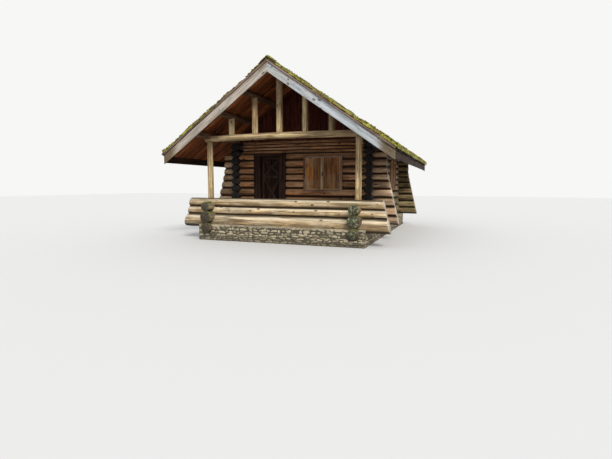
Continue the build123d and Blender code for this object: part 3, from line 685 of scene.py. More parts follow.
def mark_timber(mesh, rng):
    """Writes grain coordinates, a tone and end faces for a piece that lies along X."""
    mesh.normal_update()
    timber = mesh.verts.layers.float_vector["timber"]
    tone = mesh.faces.layers.float["tone"]
    end_grain = mesh.faces.layers.float["end_grain"]
    shift = Vector((rng.uniform(0, 90), 0, 0))
    own_tone = rng.random()
    for vert in mesh.verts:
        vert[timber] = vert.co + shift
    for face in mesh.faces:
        face[tone] = own_tone
        face[end_grain] = 1.0 if abs(face.normal.x) > 0.8 else 0.0


def move(part, matrix):
    """Takes a part to its place."""
    bmesh.ops.transform(part, verts=part.verts, matrix=matrix)


def pour(mesh, part):
    """Adds a finished part to a piece and frees the part."""
    holder = bpy.data.meshes.new("part")
    part.to_mesh(holder)
    part.free()
    mesh.from_mesh(holder)
    bpy.data.meshes.remove(holder)


def trim(part, place, normal):
    """Cuts away what lies beyond a plane and closes the cut as a sawn end."""
    bmesh.ops.bisect_plane(
        part, geom=part.verts[:] + part.edges[:] + part.faces[:],
        plane_co=place, plane_no=normal, clear_outer=True)
    rim = [e for e in part.edges if e.is_boundary]
    if not rim:
        return
    filled = bmesh.ops.holes_fill(part, edges=rim, sides=0)["faces"]
    tone = part.faces.layers.float["tone"]
    end_grain = part.faces.layers.float["end_grain"]
    for face in filled:
        neighbours = [f for e in face.edges for f in e.link_faces if f is not face]
        face[tone] = neighbours[0][tone] if neighbours else 0.5
        face[end_grain] = 1.0


def ease(part, edges, offset):
    """Small chamfer along edges."""
    bmesh.ops.bevel(
        part, geom=edges, offset=offset, offset_type="OFFSET", affect="EDGES",
        segments=1, profile=0.5, material=-1, clamp_overlap=True)


def set_down(name, mesh, slot, nodes=(), look=None, body="cabin", smooth=None):
    """Makes the piece, rides it on its body and lets it stand for its CAD nodes.

    Its finish has the name of its slot, unless it has a look of its own.
    """
    bmesh.ops.recalc_face_normals(mesh, faces=mesh.faces)
    data = bpy.data.meshes.new(name)
    mesh.to_mesh(data)
    mesh.free()
    data.materials.append(finish(look or slot))
    if smooth:
        data.polygons.foreach_set("use_smooth", [True] * len(data.polygons))
        data.set_sharp_from_angle(angle=math.radians(smooth))
    piece = bpy.data.objects.new(name, data)
    bpy.context.scene.collection.objects.link(piece)
    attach(piece, body)
    if nodes:
        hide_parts(*nodes)


def middle_of(node):
    """Centre of a CAD node's box."""
    low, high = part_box(node)
    return (low + high) / 2


def cad_copy(node):
    """Merged copy of a CAD node's mesh, in a mesh of its own."""
    mesh = new_piece_mesh()
    mesh.from_mesh(NODES[node].data)
    bmesh.ops.remove_doubles(mesh, verts=mesh.verts, dist=1e-5)
    return mesh


def cad_solids(node):
    """The separate solids of a CAD node, each as a list of its points."""
    mesh = cad_copy(node)
    solids = []
    seen = set()
    for first in mesh.verts:
        if first in seen:
            continue
        seen.add(first)
        heap = [first]
        island = []
        while heap:
            vert = heap.pop()
            island.append(vert.co.copy())
            for edge in vert.link_edges:
                other = edge.other_vert(vert)
                if other not in seen:
                    seen.add(other)
                    heap.append(other)
        solids.append(island)
    mesh.free()
    return solids


def corners_of(points):
    """Lowest and highest corner of a set of points."""
    low = Vector([min(p[i] for p in points) for i in range(3)])
    high = Vector([max(p[i] for p in points) for i in range(3)])
    return low, high


def long_axis(size):
    """Axis along which something is longest."""
    return max(range(3), key=lambda i: size[i])


def lengthways(part, length):
    """Edges that run along a part that lies along X."""
    return [e for e in part.edges if abs(e.verts[0].co.x - e.verts[1].co.x) > length / 2]


def end_reach(points, axis, low, high):
    """Where a log ends along its axis at its bottom and top, at both ends."""
    if axis == Z:
        return ((low.z, low.z), (high.z, high.z))
    top = [p[axis] for p in points if p.z > high.z - 0.02]
    bottom = [p[axis] for p in points if p.z < low.z + 0.02]
    return ((min(bottom), min(top)), (max(bottom), max(top)))


def axis_turn(axis):
    """Rotation that takes a piece lying along X to the given axis."""
    if axis == Y:
        return Matrix.Rotation(math.radians(90), 4, "Z")
    if axis == Z:
        return Matrix.Rotation(math.radians(-90), 4, "Y")
    return Matrix.Identity(4)


def turned_place(middle, angle):
    """Place at ground level under a point, turned about the vertical."""
    return Matrix.Translation((middle.x, middle.y, 0)) @ Matrix.Rotation(angle, 4, "Z")


def wander(part, rng, radius, amount, length, bow):
    """Lets the face of a peeled log swell and shrink along its length."""
    seed = Vector([rng.uniform(0, 50) for _ in range(3)])
    for vert in part.verts:
        out = Vector((0, vert.co.y, vert.co.z))
        if out.length < radius / 10:
            continue
        round_about = out.normalized()
        broad = noise.noise(Vector((vert.co.x * 0.9, 0, 0)) + seed)
        local = noise.noise(Vector((vert.co.x * 2.4, round_about.y * 1.1, round_about.z * 1.1)) + seed)
        vert.co += out * amount * (0.6 * broad + 1.2 * local - 0.5)
        vert.co.z += bow * math.sin(math.pi * (vert.co.x / length + 0.5))


def round_timber(points, rng, wobble, bow):
    """Peeled log in the place of a CAD solid, with a wandering face and sawn ends."""
    picked = settings()
    low, high = corners_of(points)
    size = high - low
    axis = long_axis(size)
    centre = (low + high) / 2
    radius = max(size[i] for i in range(3) if i != axis) / 2
    length = size[axis]
    part = new_piece_mesh()
    bmesh.ops.create_cone(
        part, cap_ends=True, segments=picked.log_sides, radius1=radius, radius2=radius, depth=length,
        matrix=axis_turn(Z).inverted())
    rings = max(2, int(length / picked.ring_step))
    bmesh.ops.subdivide_edges(part, edges=lengthways(part, length), cuts=rings)
    for sign, (at_low, at_high) in zip((-1, 1), end_reach(points, axis, low, high)):
        slant = (at_high - at_low) / size.z
        if axis != Z and abs(slant) > LEAST_SLANT:
            place = Vector(((at_low + at_high) / 2 - centre[axis], 0, 0))
            trim(part, place, Vector((sign, 0, -sign * slant)).normalized())
    mark_timber(part, rng)
    wander(part, rng, radius, wobble, length, bow)
    end_grain = part.faces.layers.float["end_grain"]
    rims = [e for e in part.edges if sum(f[end_grain] for f in e.link_faces) == 1.0]
    ease(part, rims, radius * LOG_END_EASE)
    move(part, Matrix.Translation(centre) @ axis_turn(axis))
    return part


def round_window(part, low, high, along):
    """The parts of a log that are left beside, under and over a window."""
    up = Vector((0, 0, 1))
    way = Vector([1.0 if i == along else 0.0 for i in range(3)])
    left = [
        ((low, way),),
        ((high, -way),),
        ((high, way), (low, -way), (low, up)),
        ((high, way), (low, -way), (high, -up)),
    ]
    for cuts in left:
        piece = part.copy()
        for place, normal in cuts:
            trim(piece, place, normal)
        if piece.faces:
            yield piece
        else:
            piece.free()
    part.free()


def board(low, high, rng, bevel=0.004, along=None, waver=0.0, tone=None):
    """Sawn board between two corners, with eased edges and the grain along it."""
    low = Vector(low)
    high = Vector(high)
    turn = axis_turn(long_axis(high - low) if along is None else along)
    size = Vector([abs(c) for c in turn.inverted() @ (high - low)])
    part = new_piece_mesh()
    bmesh.ops.create_cube(part, size=1.0)
    bmesh.ops.scale(part, vec=size, verts=part.verts)
    sharp = part.edges
    if waver:
        cuts = max(1, int(size.x / 0.25))
        bmesh.ops.subdivide_edges(part, edges=lengthways(part, size.x), cuts=cuts)
    mark_timber(part, rng)
    if waver:
        seed = rng.uniform(0, 50)
        for vert in part.verts:
            sway = Vector((0, vert.co.y / size.y, vert.co.z / size.z))
            vert.co -= sway * waver * (0.5 + noise.noise(Vector((vert.co.x * 1.7, seed, sway.z))))
        sharp = [e for e in part.edges if e.calc_face_angle(0.0) > 1.0]
    ease(part, sharp[:], bevel)
    if tone is not None:
        layer = part.faces.layers.float["tone"]
        for face in part.faces:
            face[layer] = tone
    move(part, Matrix.Translation((low + high) / 2) @ turn)
    return part


def board_row(low, high, across, along, width, rng, recess=0.0, bevel=0.004):
    """Boards side by side along one axis, each running along another."""
    gap = settings().board_gap
    count = max(1, round((high[across] - low[across]) / width))
    pitch = (high[across] - low[across]) / count
    thin = X + Y + Z - across - along
    row = new_piece_mesh()
    for index in range(count):
        first = Vector(low)
        last = Vector(high)
        first[across] = low[across] + index * pitch + gap / 2
        last[across] = low[across] + (index + 1) * pitch - gap / 2
        last[thin] -= rng.uniform(0.0, recess)
        first[thin] += rng.uniform(0.0, recess)
        pour(row, board(first, last, rng, bevel, along))
    return row


def eased_copy(node, rng, bevel, grain):
    """A CAD node's own shape with its edges eased and grain along an axis."""
    part = cad_copy(node)
    bmesh.ops.dissolve_limit(part, angle_limit=math.radians(1), verts=part.verts, edges=part.edges)
    low, high = corners_of([v.co for v in part.verts])
    turn = Matrix.Translation((low + high) / 2) @ axis_turn(grain)
    move(part, turn.inverted())
    mark_timber(part, rng)
    ease(part, [e for e in part.edges if e.calc_face_angle(0.0) > 0.5], bevel)
    move(part, turn)
    return part


class RoofLines:
    """Lines of the two equal roof slopes, read from the frame's roof boards and shakes"""

    def __init__(self):
        points = [v.co for v in NODES["roof_deck_right"].data.vertices]
        inner = min(p.x for p in points)
        outer = max(p.x for p in points)
        ridge = min(p.z for p in points if p.x < inner + 0.001)
        eave = min(p.z for p in points if p.x > outer - 0.001)
        self.rise = (ridge - eave) / (outer - inner)
        self.angle = math.atan(self.rise)
        self.ridge_under = ridge + inner * self.rise
        self.deck_end = outer
        shakes_low, shakes_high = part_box("roof_shakes_right")
        self.front = shakes_low.y
        self.back = shakes_high.y
        self.edge = shakes_high.x - SHAKE_TOP * math.sin(self.angle)
        self.length = self.edge / math.cos(self.angle)

    def out(self, sign):
        """Direction that a slope looks in."""
        return Vector((sign * math.sin(self.angle), 0, math.cos(self.angle)))

    def side(self, sign):
        """Frame of a slope: x runs up from the eave, y along the cabin, z out of the roof boards."""
        lean = Vector((-sign * math.cos(self.angle), 0, math.sin(self.angle)))
        out = self.out(sign)
        turn = Matrix((lean, out.cross(lean), out)).transposed().to_4x4()
        height = self.ridge_under - self.rise * self.edge + DECK_THICKNESS / math.cos(self.angle)
        return Matrix.Translation((sign * self.edge, 0, height)) @ turn

    def lay(self, part, sign, gap=0.001):
        """Leans a part on its slope and cuts it plumb just short of the ridge."""
        move(part, self.side(sign))
        trim(part, Vector((sign * gap, 0, 0)), Vector((-sign, 0, 0)))

    def fit(self, part, sign, reach):
        """Lays a part tight to the ridge and cuts it plumb at the eave too."""
        self.lay(part, sign, 0.0003)
        trim(part, Vector((sign * reach, 0, 0)), Vector((sign, 0, 0)))
        return part


class CabinOperator:
    """Shared base of the cabin's operators"""

    bl_options = {"REGISTER", "UNDO"}


class CABIN_OT_finishes(CabinOperator, bpy.types.Operator):
    """Makes every wood, stone, moss and iron finish"""

    bl_idname = "cabin.finishes"
    bl_label = "Finishes"

    def execute(self, context):
        build_grain_group()
        build_growth_group()
        build_grime_group()
        build_zone_group()
        build_wood_materials()
        stone_material("foundation_stone", (0.34, 0.28, 0.17), (0.64, 0.55, 0.37), (0.17, 0.16, 0.10), 0.16)
        mortar_material("mortar", (0.034, 0.027, 0.017), (0.60, 0.52, 0.37))
        moss_material("moss", tuple(settings().moss_colour))
        metal_material("dark_iron", (0.05, 0.048, 0.045), 0.7, 0.55)
        metal_material("worn_steel", (0.62, 0.61, 0.58), 1.0, 0.35)
        for node, name in KEPT_NODES.items():
            NODES[node].data.materials.clear()
            NODES[node].data.materials.append(finish(name))
        return {"FINISHED"}


class CABIN_OT_logs(CabinOperator, bpy.types.Operator):
    """Lays peeled logs and poles in the place of the log walls and the porch frame"""

    bl_idname = "cabin.logs"
    bl_label = "Logs"

    def execute(self, context):
        laid = [(node, slot, look) for slot, look, nodes in ROUND_TIMBER for node in nodes]
        for index, (node, slot, look) in enumerate(laid):
            rng = random.Random(100 + index)
            piece = new_piece_mesh()
            bow = TIE_BEAM_BOW if node == "tie_beam" else 0.0
            wobble = settings().log_wobble * (1.0 if slot.endswith("_log") else 0.5)
            window = WINDOWS.get(node)
            for points in cad_solids(node):
                low, high = corners_of(points)
                along = long_axis(high - low)
                log = round_timber(points, rng, wobble, bow)
                if window and self.crosses(low, high, along, *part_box(window)):
                    for left in round_window(log, *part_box(window), along):
                        pour(piece, left)
                else:
                    pour(piece, log)
            set_down(node + "_timber", piece, slot, [node], look, smooth=50)
        return {"FINISHED"}

    def crosses(self, low, high, along, gap_low, gap_high):
        """Whether a log runs across a window, and not just along its edge."""
        slack = 0.01
        return (low.z < gap_high.z - slack and high.z > gap_low.z + slack
                and low[along] < gap_low[along] - slack and high[along] > gap_high[along] + slack)


class CABIN_OT_foundation(CabinOperator, bpy.types.Operator):
    """Faces the foundation with small flat field stones in rough rows"""

    bl_idname = "cabin.foundation"
    bl_label = "Foundation"

    def execute(self, context):
        rng = random.Random(11)
        low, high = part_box("stone_foundation")
        size = high - low
        logs = [corners_of(points) for node in LOGS_ON_STONE for points in cad_solids(node)]
        rubble = new_piece_mesh()
        for turn in range(4):
            along = turn % 2
            place = turned_place((low + high) / 2, turn * math.pi / 2)
            self.face(rubble, place, size[along] / 2, size[1 - along] / 2, low.z + LEDGE_LEVEL, logs, rng)
        set_down("foundation_rubble", rubble, "foundation_stone", smooth=60)
        return {"FINISHED"}

    def face(self, rubble, place, half, depth, top, logs, rng):
        """Rows of stones on one face of the foundation; they stand out towards -Y."""
        picked = settings()
        level = 0.0
        while level < top - 0.02:
            height = min(picked.stone_height * rng.uniform(0.7, 1.35), top - level)
            if top - level - height < LOWEST_ROW:
                height = top - level
            at = -half - CORNER_OVERRUN
            while at < half:
                length = min(picked.stone_length * rng.uniform(0.45, 1.9), half + CORNER_OVERRUN - at)
                proud = rng.uniform(0.002, 0.030)
                lift = rng.uniform(-0.018, 0.018) * min(1.0, 10 * level, 10 * (top - level - height))
                centre = Vector((
                    at + length / 2, -depth - proud + STONE_DEPTH / 2, level + height / 2 + lift))
                at += length * rng.uniform(0.84, 0.96)
                if length < SHORTEST_STONE or self.under_log(place @ centre, logs):
                    continue
                size = Vector((length, STONE_DEPTH, height * rng.uniform(0.90, 1.22)))
                pour(rubble, self.stone(place @ Matrix.Translation(centre), size, rng))
            level += height

    def under_log(self, point, logs):
        """Whether a log takes up the place of a stone."""
        return any(
            low.x < point.x < high.x and low.y < point.y < high.y
            and low.z - 0.01 < point.z < high.z
            for low, high in logs)

    def stone(self, place, size, rng):
        """One worn stone, rounded at its corners and uneven on its face."""
        part = new_piece_mesh()
        bmesh.ops.create_icosphere(part, subdivisions=2, radius=1.0)
        seed = Vector([rng.uniform(0, 50) for _ in range(3)])
        for vert in part.verts:
            uneven = 1.0 + 0.35 * noise.noise(vert.co * 1.3 + seed)
            vert.co = Vector([math.copysign(abs(c) ** 0.72, c) for c in vert.co]) * uneven
        tilt = Matrix.Rotation(rng.gauss(0.0, 0.11), 4, "Y")
        low, high = corners_of([v.co for v in part.verts])
        move(part, Matrix.Diagonal([size[i] / (high - low)[i] for i in range(3)] + [1.0]))
        move(part, place @ tilt)
        mark_timber(part, rng)
        for vert in part.verts:
            vert.co.z = max(vert.co.z, 0.001)
        return part


class CABIN_OT_floors(CabinOperator, bpy.types.Operator):
    """Lays joists and floor boards in the porch and the room"""

    bl_idname = "cabin.floors"
    bl_label = "Floors"

    def execute(self, context):
        for index, place in enumerate(("porch", "room")):
            rng = random.Random(20 + index)
            boards = board_row(*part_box(place + "_floor"), X, Y, settings().floor_board, rng, recess=0.003)
            set_down(place + "_floor_boards", boards, "floor_wood", [place + "_floor"])
            joists = new_piece_mesh()
            for points in cad_solids(place + "_joists"):
                pour(joists, board(*corners_of(points), rng, 0.006, waver=0.006))
            set_down(place + "_floor_joists", joists, "floor_wood", [place + "_joists"])
        return {"FINISHED"}


class CABIN_OT_gables(CabinOperator, bpy.types.Operator):
    """Boards the gables up to the roof"""

    bl_idname = "cabin.gables"
    bl_label = "Gables"

    def execute(self, context):
        roof = RoofLines()
        for index, node in enumerate(("front_gable", "back_gable")):
            rng = random.Random(30 + index)
            low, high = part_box(node)
            boards = board_row(low, high, X, Z, settings().gable_board, rng, recess=0.012)
            # A thin sheet in the middle closes the joints between the boards
            middle = (low.y + high.y) / 2
            sheet_low = (low.x, middle - GABLE_SHEET / 2, low.z)
            sheet_high = (high.x, middle + GABLE_SHEET / 2, high.z)
            pour(boards, board(sheet_low, sheet_high, rng, 0.001, Z))
            for sign in (-1, 1):
                trim(boards, Vector((0, 0, roof.ridge_under - 0.0005)), roof.out(sign))
            set_down(node + "_boards", boards, "gable_board", [node])
        return {"FINISHED"}


class CABIN_OT_roof(CabinOperator, bpy.types.Operator):
    """Boards the roof and trims it with barge boards, verge strips and eave boards"""

    bl_idname = "cabin.roof"
    bl_label = "Roof Boards"

    def execute(self, context):
        roof = RoofLines()
        for sign, name in SLOPES:
            rng = random.Random(40 + sign)
            low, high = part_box("roof_deck_" + name)
            deck = board_row(
                Vector((-EAVE_OVERRUN, low.y, -DECK_THICKNESS)),
                Vector((roof.length + RIDGE_OVERRUN, high.y, 0)),
                Y, X, settings().roof_board, rng, recess=0.004)
            roof.fit(deck, sign, roof.deck_end)
            set_down("roof_boards_" + name, deck, "roof_board", ["roof_deck_" + name])
            eave = "eave_board_" + name
            set_down(eave + "_timber", eased_copy(eave, rng, 0.004, Y), "eave_board", [eave])
        for node in ("front_barge_boards", "back_barge_boards"):
            self.verge(node, roof)
        return {"FINISHED"}

    def verge(self, node, roof):
        """Barge boards of one gable and the strips that lie over them."""
        low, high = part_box(node)
        rng = random.Random(node)
        barge = new_piece_mesh()
        strip = new_piece_mesh()
        outside = -1 if low.y < 0 else 1
        face = low.y if outside < 0 else high.y
        for sign in (-1, 1):
            timber = board(
                (-EAVE_OVERRUN, low.y, -BARGE_DEPTH), (roof.length + BARGE_OVERRUN, high.y, 0),
                rng, 0.005, X, 0.008, tone=0.9 if sign > 0 else 0.1)
            pour(barge, roof.fit(timber, sign, high.x))
            ends = sorted(face + outside * reach for reach in VERGE_STRIP_REACH)
            if sign > 0:
                ends = sorted(-end for end in ends)
            timber = board(
                (0, ends[0], VERGE_STRIP_LEVELS[0]),
                (roof.length + RIDGE_OVERRUN, ends[1], VERGE_STRIP_LEVELS[1]), rng, 0.003, X, 0.003)
            pour(strip, roof.fit(timber, sign, high.x))
        set_down(node + "_timber", barge, "barge_board", [node])
        set_down(node.replace("barge_boards", "verge_strips"), strip, "barge_board", look="verge_board")


class CABIN_OT_shakes(CabinOperator, bpy.types.Operator):
    """Lays split shakes in lapped courses and caps the ridge"""

    bl_idname = "cabin.shakes"
    bl_label = "Shakes"

    def execute(self, context):
        roof = RoofLines()
        for sign, name in SLOPES:
            rng = random.Random(50 + sign)
            shakes = new_piece_mesh()
            self.course(shakes, rng, roof, 0.0, STARTER_LENGTH, STARTER_LIFT)
            row = 0.0
            while row < roof.length - LAST_COURSE:
                self.course(shakes, rng, roof, row, SHAKE_LENGTH, SHAKE_BUTT_LIFT)
                row += settings().shake_exposure
            roof.lay(shakes, sign)
            set_down("split_shakes_" + name, shakes, "mossy_shake", ["roof_shakes_" + name])
        self.cap(roof)
        return {"FINISHED"}

    def course(self, shakes, rng, roof, row, length, lift):
        """One course of shakes whose butts stand a little uneven."""
        start = roof.front + SHAKE_SETBACK
        last = roof.back - SHAKE_SETBACK
        at = start
        while at < last - 0.02:
            width = min(settings().shake_width * rng.uniform(0.6, 1.35), last - at)
            if last - at - width < 0.05:
                width = last - at
            setback = rng.uniform(0.0, 0.028)
            thick = rng.uniform(0.017, 0.027)
            part = new_piece_mesh()
            bmesh.ops.create_cube(part, size=1.0)
            bmesh.ops.scale(part, vec=Vector((length, width - SHAKE_JOINT, thick)), verts=part.verts)
            mark_timber(part, rng)
            for vert in part.verts:
                vert.co.x += length / 2
                if vert.co.x > length / 2:
                    vert.co.z *= 0.3
                vert.co.z += thick / 2 + lift * (1.0 - vert.co.x / length)
            turn = Matrix.Rotation(rng.gauss(0, 0.006), 4, "Z")
            move(part, Matrix.Translation((row + setback, at + width / 2, 0)) @ turn)
            for vert in part.verts:
                vert.co.y = min(max(vert.co.y, start), last)
            pour(shakes, part)
            at += width

    def cap(self, roof):
        """Shakes lapped along the ridge, one row on each slope."""
        rng = random.Random(60)
        cap = new_piece_mesh()
        for sign in (-1, 1):
            row = new_piece_mesh()
            tilt = Matrix.Translation((0, 0, CAP_LIFT)) @ Matrix.Rotation(-CAP_TILT * sign, 4, "X")
            at = roof.front
            while at < roof.back - 0.05:
                length = min(CAP_SHAKE_LENGTH, roof.back - at)
                low = (roof.length - RIDGE_CAP_RUN + rng.uniform(0, 0.03), at, 0)
                high = (roof.length + RIDGE_OVERRUN, at + length, CAP_THICKNESS)
                part = board(low, high, rng, 0.003, Y)
                middle = Matrix.Translation((0, at + length / 2, 0))
                move(part, middle @ tilt @ middle.inverted())
                pour(row, part)
                at += CAP_EXPOSURE
            roof.lay(row, sign)
            for vert in row.verts:
                vert.co.y = min(max(vert.co.y, roof.front), roof.back)
            pour(cap, row)
        set_down("ridge_cap_shakes", cap, "mossy_shake", ["ridge_cap"])


class CABIN_OT_moss(CabinOperator, bpy.types.Operator):
    """Grows cushions of moss over the shakes, thickest along the edges and the ridge"""

    bl_idname = "cabin.moss"
    bl_label = "Moss"

    def execute(self, context):
        roof = RoofLines()
        top = CAD_BOX[1][2] - 0.004
        for sign, name in SLOPES:
            rng = random.Random(70 + sign)
            cover = self.blanket(roof, sign)
            self.tufts(cover, roof, sign, rng)
            move(cover, roof.side(sign))
            for vert in cover.verts:
                vert.co.z = min(vert.co.z, top)
                vert.co.x = sign * min(max(sign * vert.co.x, 0.0), CAD_BOX[1][0] - MOSS_EDGE_GAP)
                vert.co.y = min(max(vert.co.y, roof.front + MOSS_EDGE_GAP), roof.back - MOSS_EDGE_GAP)
            set_down("roof_moss_" + name, cover, "mossy_shake", look="moss", smooth=180)
        set_down("ridge_moss", self.crest(roof, top), "mossy_shake", look="moss", smooth=180)
        return {"FINISHED"}

    def depth(self, roof, sign, along, across):
        """Depth of the moss over the shakes; below zero the shakes are bare."""
        place = Vector((along, across * sign, 7.0 * sign))
        lumps = noise.noise(place * 3.2) + 0.5 * noise.noise(place * 8.5) + 0.25 * noise.noise(place * 19.0)
        patches = noise.noise(place * 0.75)
        edge = min(across - roof.front, roof.back - across, along)
        rim = max(0.0, 1.0 - edge / 0.45)
        crest = max(0.0, 1.0 - (roof.length - along) / 0.5)
        low_down = 1.0 - along / roof.length
        rim *= 0.26 if sign > 0 else 0.55
        cover = 0.42 * lumps + 0.75 * patches + rim + 0.40 * crest + 0.95 * low_down ** 2
        cover -= 0.0 if sign > 0 else 0.12
        return settings().moss_depth * min(cover, 1.15)

    def surface(self, roof, sign, along, across):
        """Height of the moss over the roof boards."""
        depth = self.depth(roof, sign, along, across)
        edge = min(across - roof.front, roof.back - across, along)
        swell = min(1.0, 0.25 + max(edge - MOSS_SETBACK, 0.0) / 0.05)
        return MOSS_BASE + depth * swell

    def blanket(self, roof, sign):
        """Sheet that rises over the shakes where moss grows and dips under them elsewhere."""
        step = settings().moss_step
        cover = new_piece_mesh()
        width = roof.back - roof.front - 2 * MOSS_SETBACK
        bmesh.ops.create_grid(
            cover, x_segments=int(roof.length / step), y_segments=int(width / step), size=0.5)
        for vert in cover.verts:
            along = (vert.co.x + 0.5) * roof.length
            across = roof.front + MOSS_SETBACK + (vert.co.y + 0.5) * width
            vert.co = Vector((along, across, self.surface(roof, sign, along, across)))
        bare = [f for f in cover.faces if all(v.co.z < BARE_LEVEL for v in f.verts)]
        bmesh.ops.delete(cover, geom=bare, context="FACES")
        rim = bmesh.ops.extrude_edge_only(cover, edges=[e for e in cover.edges if e.is_boundary])
        for vert in rim["geom"]:
            if isinstance(vert, bmesh.types.BMVert):
                vert.co.z = min(MOSS_HEM, vert.co.z - 0.01)
        return cover

    def tufts(self, cover, roof, sign, rng):
        """Small raised cushions that break the line of the roof."""
        first = roof.front + TUFT_INSET
        last = roof.back - TUFT_INSET
        for _ in range(SLOPE_TUFTS):
            if rng.random() < 0.55:
                along = rng.uniform(0.03, roof.length - 0.06)
                across = first + MOSS_SETBACK + abs(rng.gauss(0, 0.05))
                if rng.random() < 0.4:
                    across = -across
                if rng.random() < 0.2:
                    along = 0.05 + abs(rng.gauss(0, 0.04))
                    across = rng.uniform(first, last)
            else:
                along = rng.uniform(0.05, roof.length - 0.05)
                across = rng.uniform(first, last)
            if self.depth(roof, sign, along, across) < LEAST_TUFT_MOSS:
                continue
            place = (along, across, self.surface(roof, sign, along, across))
            self.tuft(cover, place, rng.uniform(0.015, 0.042), rng)

    def crest(self, roof, top):
        """Cushions along the ridge, heaped at the gable ends and sparse between."""
        rng = random.Random(73)
        cover = new_piece_mesh()
        for index in range(RIDGE_TUFTS):
            heaped = index < GABLE_END_TUFTS
            size = rng.uniform(0.016, 0.042)
            edge = roof.back - 1.5 * size
            if heaped:
                along = edge - abs(rng.gauss(0, 0.08))
                along = -along if index % 2 else along
                run = abs(rng.gauss(0, 0.15)) if rng.random() < 0.4 else -abs(rng.gauss(0, 0.42))
            else:
                along = rng.uniform(-edge, edge)
                if noise.noise(Vector((0.0, along * 0.9, 3.0))) < -0.05:
                    continue
                run = rng.gauss(0, 0.10)
            sign = 1 if run > 0 else -1
            lift = rng.uniform(-0.02, 0.02) if sign > 0 else rng.uniform(-0.005, 0.030)
            if abs(run) < RIDGE_CAP_RUN:
                lift = rng.uniform(0.0, 0.062) if heaped else 0.052
            height = SHAKE_TOP + lift
            uphill = roof.length + height * roof.rise - abs(run)
            place = roof.side(sign) @ Vector((uphill, -sign * along, height))
            place.z = min(place.z, top - 1.1 * size)
            self.tuft(cover, place, size, rng)
        return cover

    def tuft(self, cover, place, size, rng):
        """One small uneven cushion."""
        tuft = new_piece_mesh()
        spread = Matrix.Diagonal((size, size * rng.uniform(0.7, 1.2), size * rng.uniform(0.5, 0.9), 1.0))
        matrix = Matrix.Translation(place) @ spread
        bmesh.ops.create_icosphere(tuft, subdivisions=1, radius=1.0, matrix=matrix)
        for vert in tuft.verts:
            vert.co += Vector([rng.uniform(-0.2, 0.2) * size for _ in range(3)])
        pour(cover, tuft)


class CABIN_OT_windows(CabinOperator, bpy.types.Operator):
    """Sets trimmed frames and closed board shutters in the window openings"""

    bl_idname = "cabin.windows"
    bl_label = "Windows"

    def execute(self, context):
        for index, (wall, turn) in enumerate((("front", 0), ("right", 90), ("left", -90))):
            rng = random.Random(80 + index)
            frame_low, frame_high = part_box(wall + "_window_frame")
            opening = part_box(wall + "_window_shutters")
            size = frame_high - frame_low
            along = Y if turn else X
            half = size[along] / 2
            proud = size[1 - along] / 2
            sill, head = opening[0].z, opening[1].z
            inner = half - (sill - frame_low.z)
            trim_boards = self.trim_boards(rng, inner, half, proud, (frame_low.z, sill, head, frame_high.z))
            shutters, strips = self.shutters(rng, inner, sill, head, proud)
            latch = self.latch(rng, (sill + head) / 2, proud)
            place = turned_place((frame_low + frame_high) / 2, math.radians(turn))
            for part in (trim_boards, shutters, strips, latch):
                move(part, place)
            look = "window_wood" if wall == "front" else "side_window_wood"
            set_down(wall + "_window_trim", trim_boards, "window_wood", [wall + "_window_frame"], look)
            set_down(wall + "_shutter_boards", shutters, "shutter_board", [wall + "_window_shutters"])
            set_down(wall + "_shutter_strips", strips, "shutter_board", look="shutter_trim")
            set_down(wall + "_shutter_latch", latch, "dark_iron")
        return {"FINISHED"}

    def trim_boards(self, rng, inner, half, proud, levels):
        """Two upright boards with a sill board and a head board between them."""
        bottom, sill, head, top = levels
        trim_boards = new_piece_mesh()
        for first, last in ((-half, -inner), (inner, half)):
            pour(trim_boards, board((first, -proud, bottom), (last, proud, top), rng, 0.004))
        for low, high in ((bottom, sill), (head, top)):
            pour(trim_boards, board((-inner, -proud, low), (inner, proud, high), rng, 0.004, X))
        return trim_boards

    def shutters(self, rng, inner, sill, head, proud):
        """Two leaves of upright boards with thin cover strips and a strip over the joint."""
        leaves = new_piece_mesh()
        strips = new_piece_mesh()
        face = -proud + 0.008
        for sign in (-1, 1):
            first, last = sorted((sign * 0.003, sign * (inner - 0.004)))
            pour(leaves, board_row(
                Vector((first, face + 0.008, sill)), Vector((last, face + 0.030, head)),
                X, Z, SHUTTER_BOARD, rng, recess=0.003, bevel=0.003))
            for left, right, low, high in (
                (first, first + SIDE_STRIP, sill, head),
                (last - SIDE_STRIP, last, sill, head),
                (first + SIDE_STRIP, last - SIDE_STRIP, sill, sill + CROSS_STRIP),
                (first + SIDE_STRIP, last - SIDE_STRIP, head - CROSS_STRIP, head),
            ):
                pour(strips, board((left, face, low), (right, face + STRIP_THICKNESS, high), rng, 0.002))
        for left, right in JOINT_STRIPS:
            pour(strips, board((left, face - 0.014, sill), (right, face, head), rng, 0.003))
        return leaves, strips

    def latch(self, rng, level, proud):
        """Iron plate over the joint of the leaves, with a knob on it."""
        latch = new_piece_mesh()
        pour(latch, board(
            (-0.022, -proud - 0.014, level - 0.10), (0.022, -proud - 0.006, level + 0.06), rng, 0.002))
        pour(latch, board(
            (-0.012, -proud - 0.028, level - 0.02), (0.012, -proud - 0.014, level + 0.02), rng, 0.003))
        return latch


